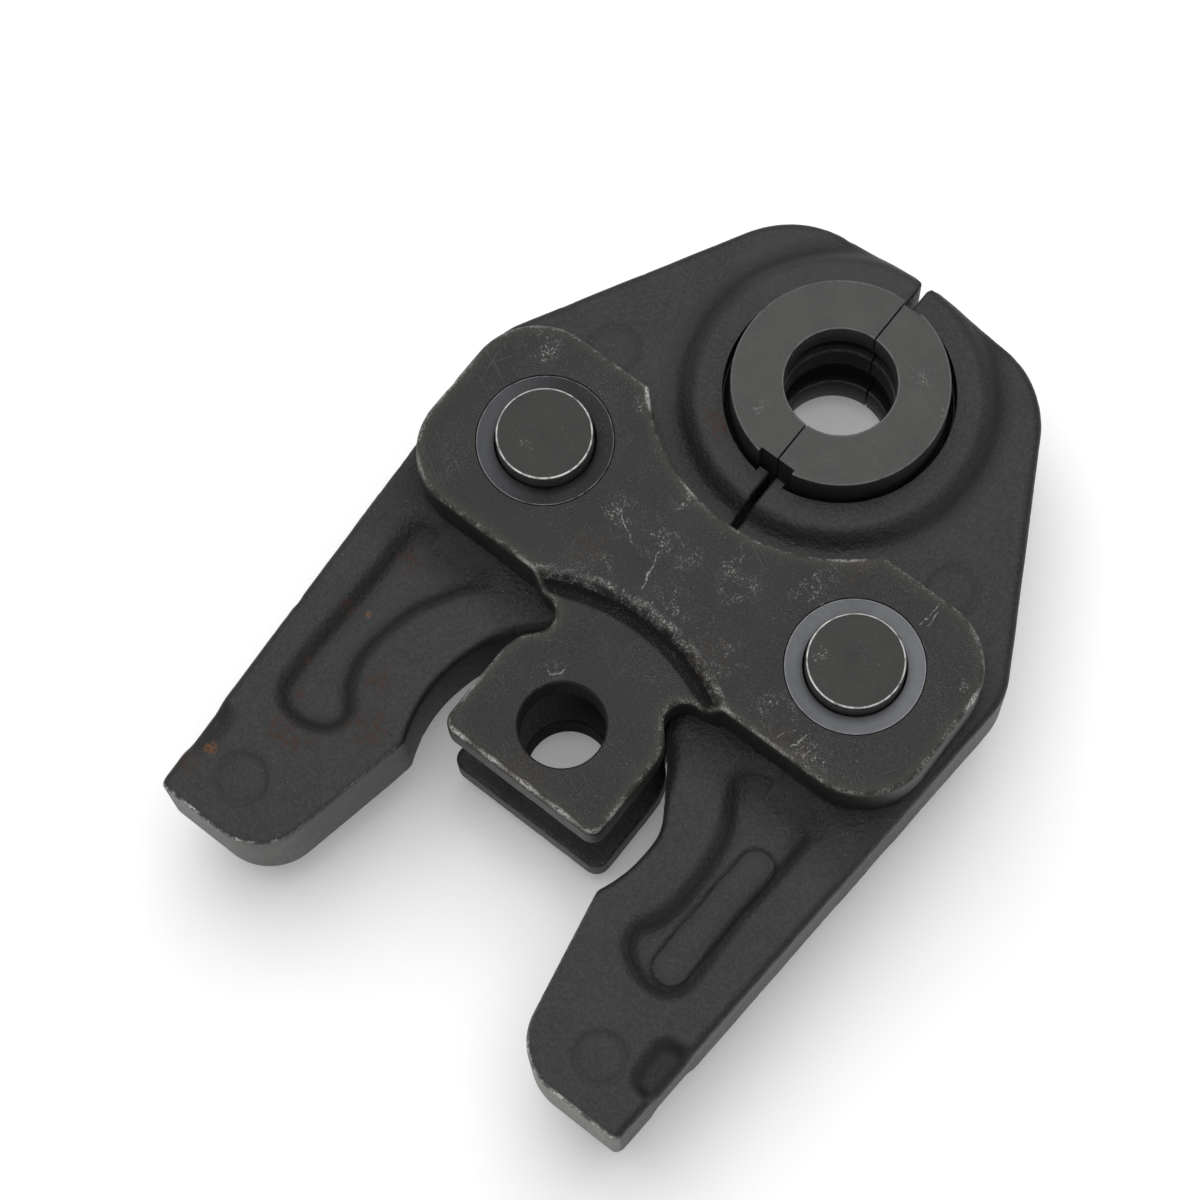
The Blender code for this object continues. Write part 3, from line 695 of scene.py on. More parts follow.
class Sketch(Wiring):
    """Draws a material's nodes. Sizes are in millimetres on the object."""

    def __init__(self, name: str) -> None:
        """Starts a material whose shader is a Principled one.

        Args:
            name: The material's name.
        """
        self.material = bpy.data.materials.new(name)
        self.material.use_nodes = True
        super().__init__(self.material.node_tree)
        self.shader = self.tree.nodes["Principled BSDF"]
        self.place = self.node("ShaderNodeTexCoord").outputs["Object"]

    def lie(self, turn: float = 0.0, stretch: Sequence[float] = (1.0, 1.0, 1.0),
            shift: Sequence[float] = (0.0, 0.0, 0.0)) -> Socket:
        """The object's coordinates, shifted, turned about Z and stretched.

        Args:
            turn: The turn, in degrees.
            stretch: Scale along each axis.
            shift: The shift, in millimetres.

        Returns:
            The coordinates.
        """
        links = {"Vector": self.place, "Location": [s * MM for s in shift],
                 "Rotation": (0.0, 0.0, math.radians(turn))}
        turned = self.node("ShaderNodeMapping", links).outputs["Vector"]
        return self.node("ShaderNodeMapping", {"Vector": turned, "Scale": stretch}).outputs["Vector"]

    def grain(self, size: float, detail: float = 2.0, rough: float = 0.5,
              vector: Socket | None = None) -> Socket:
        """Noise with lumps of the given size, on the object's or other coordinates."""
        links = {"Scale": 1.0 / (size * MM), "Detail": detail, "Roughness": rough,
                 "Vector": vector or self.place}
        return self.node("ShaderNodeTexNoise", links).outputs["Fac"]

    def cells(self, size: float, feature: str = "F1") -> Socket:
        """Distance pattern of scattered cells of the given size."""
        links = {"Scale": 1.0 / (size * MM), "Vector": self.place}
        return self.node("ShaderNodeTexVoronoi", links, feature=feature).outputs["Distance"]

    def blend(self, part: object, first: object, second: object) -> Socket:
        """A colour between two, by a part from 0 to 1.

        Args:
            part: Share of the second colour.
            first: First colour.
            second: Second colour.

        Returns:
            The colour.
        """
        made = self.node("ShaderNodeMix", data_type="RGBA")
        self.put(made.inputs["Factor"], part)
        for socket, value in ((made.inputs[6], first), (made.inputs[7], second)):
            if isinstance(value, tuple):
                value = (*value, 1.0)
            self.put(socket, value)
        return made.outputs[2]

    def attribute(self, name: str) -> Socket:
        """A number stored on the piece's points."""
        return self.node("ShaderNodeAttribute", attribute_name=name).outputs["Fac"]

    def distance(self, centre: Point) -> Socket:
        """Distance in metres, seen from above, from a place in millimetres.

        Args:
            centre: The place, from the bolt hole's axis.

        Returns:
            The distance.
        """
        here = (Vector((*centre, 0.0)) + FRAME_SHIFT) * MM
        flat = self.node("ShaderNodeVectorMath", {0: self.place, 1: (1.0, 1.0, 0.0)}, operation="MULTIPLY")
        links = {0: flat.outputs["Vector"], 1: (here.x, here.y, 0.0)}
        return self.node("ShaderNodeVectorMath", links, operation="DISTANCE").outputs["Value"]

    def slant(self, centre: Point, angle: float, reach: float) -> Socket:
        """A slope across a piece.

        Args:
            centre: Where it is 0.
            angle: Direction in which it climbs, in degrees.
            reach: Distance, in millimetres, in which it climbs by 1.

        Returns:
            The slope.
        """
        turn = math.radians(angle)
        here = (Vector((*centre, 0.0)) + FRAME_SHIFT) * MM
        links = {0: self.place, 1: (math.cos(turn), math.sin(turn), 0.0)}
        made = self.node("ShaderNodeVectorMath", links, operation="DOT_PRODUCT")
        offset = here.x * math.cos(turn) + here.y * math.sin(turn)
        return self.product(self.math("SUBTRACT", made.outputs["Value"], offset), 1.0 / (reach * MM))

    def patch(self, centre: Point, radius: float) -> Socket:
        """1 inside a round patch, falling to 0 towards its radius."""
        return self.ramp(self.distance(centre), radius * MM, radius * (1.0 - 0.6) * MM)

    def patches(self, spots: Spots) -> Socket:
        """The strongest of several round patches, each given as x, y and radius."""
        return self.most(0.0, *[self.patch((x, y), radius) for x, y, radius in spots])

    def hairlines(self, turn: float, length: float, seed: float, level: float) -> Socket:
        """Straight fine scratches along one direction."""
        along = self.lie(turn, (1.0 / 32.0, 1.0, 1.0), (seed, seed * 1.7, 0.0))
        fine = self.grain(length / 32.0, 1.0, 0.4, along)
        return self.ramp(fine, level, level + 0.04)

    def streak(self, start: Point, end: Point, width: float) -> Socket:
        """One long, slightly crooked scratch between two points.

        Args:
            start: One end, in millimetres from the bolt hole's axis.
            end: The other end.
            width: Its width, in millimetres.

        Returns:
            1 on the scratch, 0 beside it.
        """
        middle = (Vector((*start, 0.0)) + Vector((*end, 0.0))) / 2 + FRAME_SHIFT * Vector((1.0, 1.0, 0.0))
        run = Vector(end) - Vector(start)
        lie = (0.0, 0.0, -math.atan2(run.y, run.x))
        centred = self.node("ShaderNodeMapping", {"Vector": self.place, "Location": -middle * MM})
        turned = self.node("ShaderNodeMapping", {"Vector": centred.outputs["Vector"], "Rotation": lie})
        split = self.node("ShaderNodeSeparateXYZ", {0: turned.outputs["Vector"]})
        crooked = self.product(self.math("SUBTRACT", self.grain(2.4, 3.0), 0.5), 0.0022)
        bent = self.total(split.outputs["Y"], crooked)
        off = self.math("ABSOLUTE", bent)
        reach = self.math("ABSOLUTE", split.outputs["X"])
        half = run.length / 2 * MM
        return self.product(self.ramp(off, width * MM, width * 0.3 * MM), self.ramp(reach, half, half * 0.85))

    def height(self, *layers: tuple[object, float]) -> Socket:
        """A normal roughened by several layers of a value and its height in millimetres.

        Args:
            layers: Each value with its height.

        Returns:
            The normal.
        """
        normal = None
        for value, depth in layers:
            links = {"Strength": 1.0, "Distance": depth * MM, "Height": value}
            if normal is not None:
                links["Normal"] = normal
            normal = self.node("ShaderNodeBump", links).outputs["Normal"]
        return normal

    def matt(self, grain: Socket, level: float) -> Socket:
        """A roughness that wavers about its level with the grain."""
        return self.ramp(grain, 0.3, 0.7, level + 0.05, level - 0.05)

    def finished(self, colour: object, metallic: object, rough: object, normal: Socket,
                 gloss: float = 0.5) -> Finish:
        """Ends the material with what its shader reads.

        Args:
            colour: Base colour.
            metallic: Share of bare metal.
            rough: Roughness.
            normal: The roughened normal.
            gloss: Specular level.

        Returns:
            The material.
        """
        inputs = self.shader.inputs
        sockets = {"Base Color": colour, "Metallic": metallic, "Roughness": rough, "Normal": normal}
        for key, value in sockets.items():
            self.put(inputs[key], value)
        inputs["Specular IOR Level"].default_value = gloss
        return self.material


@dataclass(frozen=True)
class ForgedOxide:
    """Black oxide over a forged skin: matt, finely pitted, with rust freckles.

    Attributes:
        base: Colour of the oxide.
        pale: Colour of its lighter clouds.
        bare: Colour of worn steel, also used for the painted glints.
        rust: Colour of rust.
        ground: Colour of the ground walls at the tips.
        roughness: How matt the oxide is.
        gloss: Strength of the oxide's sheen.
        spots: Rusty places as x, y and radius in millimetres.
        orange: Places of fresher, orange rust.
        lit_patches: Places painted paler, as painted light on the upper boss.
    """

    base: Colour = (0.0080, 0.0080, 0.0084)
    pale: Colour = (0.0125, 0.0125, 0.0128)
    bare: Colour = (0.42, 0.42, 0.40)
    rust: Colour = (0.040, 0.017, 0.010)
    ground: Colour = (0.150, 0.150, 0.136)
    roughness: float = 0.45
    gloss: float = 0.19
    spots: Spots = ()
    orange: Spots = ()
    lit_patches: Spots = ()

    def make(self, name: str) -> Finish:
        """Draws the material.

        Args:
            name: The material's name.

        Returns:
            The material.
        """
        s = Sketch(name)
        coarse = s.attribute("coarse")
        clouds = s.ramp(s.grain(9.0, 3.0, 0.6), 0.35, 0.68)
        grain = s.grain(0.45, 3.0, 0.6)
        peel = s.grain(1.3, 3.0, 0.55)
        colour = s.blend(clouds, self.base, self.pale)
        colour = s.blend(s.product(s.ramp(grain, 0.42, 0.66), 0.42), colour, (0.036, 0.036, 0.037))
        # Painted light: the coarse zones near the plate are painted paler, to lift the shade that the plate
        # casts there.
        colour = s.blend(s.product(coarse, 0.30), colour, (0.026, 0.026, 0.026))
        # Painted light: paler patches where the light falls more strongly on the upper boss.
        if self.lit_patches:
            colour = s.blend(s.product(s.patches(self.lit_patches), 0.5), colour, (0.030, 0.030, 0.031))
        # Painted shade: the hollows and the tail notch are painted darker, as shade falls there.
        hollow_shade = s.ramp(s.attribute("hollow"), 0.03, 0.30)
        colour = s.blend(s.product(hollow_shade, 0.6), colour, (0.006, 0.006, 0.006))
        ground = s.attribute("ground")
        brushed = s.grain(0.5, 3.0, 0.6, s.lie(0.0, (1.0, 1.0, 0.12)))
        stain = s.ramp(s.grain(5.0, 3.0, 0.6), 0.35, 0.65, 0.65, 1.0)
        colour = s.blend(s.product(ground, stain, s.ramp(brushed, 0.25, 0.75, 0.6, 1.0)), colour, self.ground)
        flecks = s.ramp(s.grain(0.28, 2.0, 0.7), 0.60, 0.68)
        broken = s.ramp(s.grain(2.6, 2.0, 0.6), 0.40, 0.58)
        grit = s.ramp(s.grain(0.4, 2.0, 0.6), 0.38, 0.56)
        rim = s.product(s.ramp(s.attribute("wear"), 0.36, 0.74), broken, grit)
        dust = s.product(s.ramp(s.cells(1.1), 0.062, 0.035), s.ramp(s.grain(11.0), 0.54, 0.68), 0.5)
        # Painted highlight: glints on the coarse skin, drawn in the worn steel's colour.
        glints = s.product(flecks, s.ramp(coarse, 0.3, 1.0), s.ramp(s.grain(3.2), 0.5, 0.65), 0.16)
        bare = s.most(rim, dust, glints)
        colour = s.blend(bare, colour, self.bare)
        rough = s.matt(grain, self.roughness)
        if self.spots:
            blotch = s.ramp(s.grain(0.9, 4.0, 0.7), 0.49, 0.58)
            rusty = s.product(s.patches(self.spots), blotch)
            colour = s.blend(s.product(rusty, 0.75), colour, self.rust)
            rough = s.total(rough, s.product(rusty, 0.2))
        if self.orange:
            fresh = s.product(s.patches(self.orange), s.ramp(s.grain(0.6, 3.0, 0.7), 0.44, 0.54))
            colour = s.blend(s.product(fresh, 0.8), colour, (0.13, 0.052, 0.018))
        even = s.ramp(ground, 0.0, 1.0, 1.0, 0.2)
        lively = s.product(even, s.ramp(coarse, 0.0, 1.0, 0.25, 1.0))
        sand = s.ramp(s.cells(0.62, "SMOOTH_F1"), 0.0, 0.9)
        normal = s.height((s.product(peel, lively), 0.20), (s.product(grain, lively), 0.26),
                          (s.product(sand, lively), 0.11), (s.product(s.grain(0.20, 2.0, 0.6), even), 0.02))
        rough = s.total(rough, s.product(bare, -0.12))
        return s.finished(colour, s.ramp(bare, 0.0, 1.0, 0.0, 0.85), rough, normal, self.gloss)


@dataclass(frozen=True)
class RolledOxide:
    """Black oxide on a milled plate: even satin with scuffs, hairlines, worn rims and a painted highlight
    along the rims.

    Attributes:
        base: Colour of the oxide.
        pale: Colour of its lighter clouds.
        bare: Colour of worn steel, also of the painted highlight along the lug's foot.
        roughness: How matt the oxide is.
        gloss: Strength of the oxide's sheen.
        scuffs: Rubbed places as x, y and radius in millimetres.
        scratches: Long scratches, each as its two ends and its width in millimetres.
        rust: Places with brown freckles.
    """

    base: Colour = (0.0076, 0.0074, 0.0072)
    pale: Colour = (0.0130, 0.0126, 0.0120)
    bare: Colour = (0.70, 0.69, 0.66)
    roughness: float = 0.45
    gloss: float = 0.155
    scuffs: Spots = ()
    scratches: tuple[tuple[Point, Point, float], ...] = ()
    rust: Spots = ()

    def make(self, name: str) -> Finish:
        """Draws the material.

        Args:
            name: The material's name.

        Returns:
            The material.
        """
        s = Sketch(name)
        clouds = s.ramp(s.grain(12.0, 4.0, 0.6), 0.38, 0.66)
        grain = s.grain(0.33, 3.0, 0.65)
        colour = s.blend(clouds, self.base, self.pale)
        colour = s.blend(s.product(s.ramp(grain, 0.4, 0.75), 0.35), colour, (0.040, 0.038, 0.036))
        # Painted highlight: a paler band along the rounded rims of the outer faces.
        colour = s.blend(s.product(s.attribute("rim"), 0.75), colour, (0.044, 0.042, 0.036))
        # Painted shade: the hollows and the bolt hole's walls are painted nearly black.
        hollow_shade = s.ramp(s.attribute("hollow"), 0.02, 0.25)
        colour = s.blend(s.product(hollow_shade, 0.85), colour, (0.003, 0.003, 0.003))
        broken = s.ramp(s.grain(1.9, 3.0, 0.65), 0.42, 0.60)
        grit = s.ramp(s.grain(0.30, 2.0, 0.65), 0.45, 0.60)
        rim = s.product(s.ramp(s.attribute("wear"), 0.25, 0.85), broken, grit, 0.42)
        # Partly real wear, partly painted highlight: a bright line along the lug's foot and the die hollow's
        # rim.
        worn = s.product(s.ramp(s.attribute("rub"), 0.12, 0.60), s.ramp(s.grain(0.38, 3.0, 0.7), 0.41, 0.53))
        crest = s.product(s.ramp(s.attribute("crest"), 0.05, 0.4), broken, grit)
        thick = s.ramp(s.grain(7.0, 3.0, 0.6), 0.42, 0.62, 0.2, 1.0)
        specks = s.product(s.ramp(s.grain(0.27, 2.0, 0.7), 0.60, 0.68), thick)
        hairs = ((28.0, 8.0, 3.1, 0.685), (-57.0, 7.0, 8.4, 0.69), (81.0, 6.0, 5.2, 0.69))
        lines = s.most(*[s.hairlines(*hair) for hair in hairs])
        lines = s.product(lines, s.ramp(s.grain(10.0, 2.0), 0.50, 0.66), 0.045)
        if self.scratches:
            drawn = s.most(*[s.streak(*scratch) for scratch in self.scratches])
            lines = s.most(lines, s.product(drawn, s.ramp(s.grain(0.5, 2.0), 0.38, 0.56), 0.30))
        rubbed = s.product(s.patches(self.scuffs), s.ramp(s.grain(0.34, 4.0, 0.8), 0.555, 0.61),
                           s.ramp(s.grain(2.2, 3.0, 0.6), 0.46, 0.60), 0.36)
        bare = s.most(rim, s.product(crest, 0.26), worn, s.product(specks, 0.14), lines, rubbed)
        colour = s.blend(bare, colour, self.bare)
        if self.rust:
            freckles = s.product(s.patches(self.rust), s.ramp(s.grain(0.4, 3.0, 0.7), 0.57, 0.65))
            colour = s.blend(s.product(freckles, 0.6), colour, (0.075, 0.036, 0.022))
        rough = s.total(s.matt(grain, self.roughness), s.product(bare, -0.1), s.product(hollow_shade, 0.4))
        normal = s.height((s.grain(3.5, 3.0, 0.5), 0.05), (grain, 0.03), (lines, 0.02))
        return s.finished(colour, s.ramp(bare, 0.0, 1.0, 0.0, 0.4), rough, normal, self.gloss)


@dataclass(frozen=True)
class TurnedSteel:
    """Turned steel with rings of tool marks about its own axis.

    Attributes:
        base: Colour of the metal.
        pale: Colour of its lighter clouds.
        centre: The lathe axis, in millimetres from the bolt hole's axis.
        roughness: How matt the metal is.
        metallic: Share of bare metal in the shine.
        marks: Spacing of the tool marks, in millimetres.
        mark_depth: Depth of the tool marks, in millimetres.
        rim: Radii of bright rims, partly worn metal and partly painted highlight.
        rim_width: Width of such a rim.
        rim_shine: Strength of such a rim.
        scratch: Strength of the hairline scratches.
        scuffs: Rubbed places as x, y and radius in millimetres.
        gloss: Strength of the sheen.
        shaded: How much darker the hidden walls are painted, as painted shade.
        edges: How bright the worn edges in a grooved bore are.
        wall: How much paler the outer wall is painted than the end faces, as painted light.
        lit: Direction, in degrees, in which a painted reflection makes the metal lighter, as on a dished
            ring. 0 for none.
        light: Colour of that painted reflection.
        bare: Colour of worn metal, also of the painted highlights and the painted light on the wall.
    """

    base: Colour
    pale: Colour
    centre: Point
    roughness: float = 0.42
    metallic: float = 0.3
    marks: float = 0.35
    mark_depth: float = 0.004
    rim: tuple[float, ...] = ()
    rim_width: float = 0.18
    rim_shine: float = 0.5
    scratch: float = 0.1
    scuffs: Spots = ()
    gloss: float = 0.35
    shaded: float = 0.0
    edges: float = 0.0
    wall: float = 0.0
    lit: float = 0.0
    light: Colour = (0.10, 0.105, 0.115)
    bare: Colour = (0.62, 0.62, 0.60)

    def make(self, name: str) -> Finish:
        """Draws the material.

        Args:
            name: The material's name.

        Returns:
            The material.
        """
        s = Sketch(name)
        away = s.distance(self.centre)
        wobble = s.total(away, s.product(s.grain(6.0), 0.0006))
        turns = s.math("SINE", s.product(wobble, 2 * math.pi / (self.marks * MM)))
        clouds = s.ramp(s.grain(6.0, 4.0, 0.6), 0.36, 0.68)
        grain = s.grain(0.4, 3.0, 0.6)
        colour = s.blend(clouds, self.base, self.pale)
        colour = s.blend(s.ramp(grain, 0.35, 0.75, 0.0, 0.25), colour, self.pale)
        # Painted shade: the walls below the end faces are painted nearly black.
        if self.shaded:
            colour = s.blend(s.product(s.attribute("shaded"), self.shaded), colour, (0.004, 0.004, 0.004))
        # Painted reflection: the metal is painted lighter towards the side given by lit.
        if self.lit:
            side = s.slant(self.centre, self.lit, 9.0)
            colour = s.blend(s.ramp(side, -0.1, 1.0, 0.0, 0.65), colour, self.light)
        hairs = ((17.0, 7.0, 2.2, 0.67), (62.0, 6.0, 4.9, 0.68), (-35.0, 6.0, 7.7, 0.68))
        lines = s.product(s.most(*[s.hairlines(*hair) for hair in hairs]), self.scratch)
        specks = s.product(s.ramp(s.grain(0.25, 2.0, 0.7), 0.655, 0.71), s.ramp(s.grain(5.0), 0.50, 0.62))
        bare = s.most(lines, s.product(specks, 0.22))
        # Bright rims: partly worn metal, partly painted highlight.
        for radius in self.rim:
            off = s.math("ABSOLUTE", s.math("SUBTRACT", away, radius * MM))
            line = s.ramp(off, self.rim_width * MM, self.rim_width * 0.4 * MM)
            part = s.ramp(s.grain(1.6, 3.0, 0.6), 0.30, 0.55, 0.25, 1.0)
            bare = s.most(bare, s.product(line, part, self.rim_shine))
        if self.scuffs:
            rubbed = s.product(s.patches(self.scuffs), s.ramp(s.grain(0.30, 4.0, 0.8), 0.56, 0.61),
                               s.ramp(s.grain(1.6, 3.0, 0.6), 0.45, 0.56), 0.5)
            bare = s.most(bare, rubbed)
        # Painted light: the outer wall is painted paler than the end faces.
        if self.wall:
            patchy = s.ramp(s.grain(0.8, 3.0, 0.6), 0.3, 0.65, 0.5, 1.0)
            bare = s.most(bare, s.product(s.attribute("wall"), patchy, self.wall))
        if self.edges:
            patchy = s.ramp(s.grain(1.2, 3.0, 0.6), 0.3, 0.6, 0.3, 1.0)
            bare = s.most(bare, s.product(s.ramp(s.attribute("edge"), 0.4, 1.0), patchy, self.edges))
        colour = s.blend(bare, colour, self.bare)
        rough = s.total(s.matt(grain, self.roughness), s.product(bare, -0.12))
        if self.shaded:
            rough = s.total(rough, s.product(s.attribute("shaded"), 0.3))
        normal = s.height((turns, self.mark_depth), (grain, 0.012))
        return s.finished(colour, s.ramp(bare, 0.0, 1.0, self.metallic, 0.9), rough, normal, self.gloss)


@dataclass(frozen=True)
class OiledWire:
    """Drawn spring wire with a film of old oil.

    Attributes:
        base: Colour of the wire.
        oil: Colour where the oil lies thick.
    """

    base: Colour = (0.16, 0.16, 0.155)
    oil: Colour = (0.045, 0.035, 0.022)

    def make(self, name: str) -> Finish:
        """Draws the material.

        Args:
            name: The material's name.

        Returns:
            The material.
        """
        s = Sketch(name)
        film = s.ramp(s.grain(3.0, 3.0, 0.6), 0.42, 0.62)
        colour = s.blend(film, self.base, self.oil)
        normal = s.height((s.grain(0.4, 2.0, 0.6), 0.012))
        return s.finished(colour, 0.9, s.ramp(film, 0.0, 1.0, 0.34, 0.5), normal)


def dressed(made: Piece, material: Finish) -> Piece:
    """Gives a piece one material all over.

    Args:
        made: The piece.
        material: Its finish.

    Returns:
        The piece.
    """
    made.data.materials.clear()
    made.data.materials.append(material)
    flat = np.zeros(len(made.data.polygons), np.int32)
    made.data.polygons.foreach_set("material_index", flat)
    return made


# Node trees


class NodeTree(Wiring):
    """A Geometry Nodes tree with named inputs that ends in Realize Instances and Set Material."""

    def __init__(self, name: str, sizes: dict[str, str]) -> None:
        """Starts a tree whose inputs are the geometry and the named sizes.

        Args:
            name: The tree's name.
            sizes: Socket type of each named input.
        """
        super().__init__(bpy.data.node_groups.new(name, "GeometryNodeTree"))
        face = self.tree.interface
        face.new_socket("Geometry", in_out="INPUT", socket_type="NodeSocketGeometry")
        kinds = {**sizes, "Finish": "NodeSocketMaterial"}
        self.identifier = {
            key: face.new_socket(key, in_out="INPUT", socket_type=kind).identifier
            for key, kind in kinds.items()
        }
        face.new_socket("Geometry", in_out="OUTPUT", socket_type="NodeSocketGeometry")
        self.inputs = self.tree.nodes.new("NodeGroupInput").outputs

    def finish(self, geometry: Socket) -> None:
        """Ends the tree with the given geometry.

        Args:
            geometry: What the tree makes.
        """
        real = self.node("GeometryNodeRealizeInstances", {"Geometry": geometry})
        paint = self.node("GeometryNodeSetMaterial",
                          {"Geometry": real.outputs[0], "Material": self.inputs["Finish"]})
        self.node("NodeGroupOutput", {0: paint.outputs[0]})

    def apply(self, made: Piece, **values: object) -> Piece:
        """Runs the tree on an object with these inputs, and keeps the result as a plain mesh.

        Args:
            made: The object.
            values: The named inputs.

        Returns:
            The same object.
        """
        step = made.modifiers.new("tree", "NODES")
        step.node_group = self.tree
        for key, value in values.items():
            step[self.identifier[key]] = value
        return plain_mesh(made)


def sweep_tree() -> NodeTree:
    """A section carried round an arc about the vertical axis, for rings and turned halves.

    Returns:
        The tree.
    """
    tree = NodeTree("turned_section", {"Start": "NodeSocketFloat", "Sweep": "NodeSocketFloat",
                                       "Steps": "NodeSocketInt", "Closed": "NodeSocketBool"})
    section = tree.node("GeometryNodeMeshToCurve", {"Mesh": tree.inputs["Geometry"]})
    path = tree.node("GeometryNodeCurveArc", {
        "Resolution": tree.inputs["Steps"], "Radius": 1e-5,
        "Start Angle": tree.inputs["Start"], "Sweep Angle": tree.inputs["Sweep"]})
    whole = tree.node("GeometryNodeCurvePrimitiveCircle",
                      {"Resolution": tree.inputs["Steps"], "Radius": 1e-5}, mode="RADIUS")
    choice = tree.node("GeometryNodeSwitch", {
        "Switch": tree.inputs["Closed"], "False": path.outputs["Curve"], "True": whole.outputs["Curve"]},
        input_type="GEOMETRY")
    upright = tree.node("GeometryNodeSetCurveNormal", {"Curve": choice.outputs[0]}, mode="Z_UP")
    skin = tree.node("GeometryNodeCurveToMesh", {
        "Curve": upright.outputs[0], "Profile Curve": section.outputs[0], "Fill Caps": True})
    tree.finish(skin.outputs[0])
    return tree


def coil_tree() -> NodeTree:
    """A round wire wound into an even coil about the vertical axis.

    Returns:
        The tree.
    """
    tree = NodeTree("wound_coil", {"Radius": "NodeSocketFloat", "Height": "NodeSocketFloat",
                                   "Turns": "NodeSocketFloat", "Wire": "NodeSocketFloat"})
    path = tree.node("GeometryNodeCurveSpiral", {
        "Resolution": 28, "Rotations": tree.inputs["Turns"], "Start Radius": tree.inputs["Radius"],
        "End Radius": tree.inputs["Radius"], "Height": tree.inputs["Height"]})
    section = tree.node("GeometryNodeCurvePrimitiveCircle",
                        {"Resolution": 12, "Radius": tree.inputs["Wire"]}, mode="RADIUS")
    skin = tree.node("GeometryNodeCurveToMesh", {
        "Curve": path.outputs[0], "Profile Curve": section.outputs[0], "Fill Caps": True})
    smooth_skin = tree.node("GeometryNodeSetShadeSmooth", {"Geometry": skin.outputs[0]})
    tree.finish(smooth_skin.outputs[0])
    return tree


def outward(made: Piece) -> Piece:
    """Joins doubled points and turns every face outwards.

    Args:
        made: A closed piece.

    Returns:
        The same piece.
    """
    work = bmesh.new()
    work.from_mesh(made.data)
    bmesh.ops.remove_doubles(work, verts=work.verts, dist=1e-6)
    bmesh.ops.recalc_face_normals(work, faces=work.faces)
    work.to_mesh(made.data)
    work.free()
    return made


def placed(made: Piece, matrix: Matrix) -> Piece:
    """Moves a piece's mesh by a matrix in millimetres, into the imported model's frame."""
    scale = Matrix.Scale(MM, 4)
    made.data.transform(scale @ Matrix.Translation(FRAME_SHIFT) @ matrix @ scale.inverted())
    return made


# The pieces


def swept(tree: NodeTree, name: str, section: Sequence[Point], centre: Point,
          **values: object) -> Piece:
    """A solid turned from a section about a vertical axis.

    Args:
        tree: The tree that sweeps a section.
        name: The object's name.
        section: Radius and height pairs round the section.
        centre: The axis.
        values: The tree's inputs.

    Returns:
        The object.
    """
    count = len(section)
    mesh = bpy.data.meshes.new(name)
    mesh.from_pydata([(r * MM, -z * MM, 0.0) for r, z in section],
                     [(i, (i + 1) % count) for i in range(count)], [])
    made = tree.apply(linked(name, mesh), **values)
    return outward(placed(made, Matrix.Translation((*centre, 0.0))))


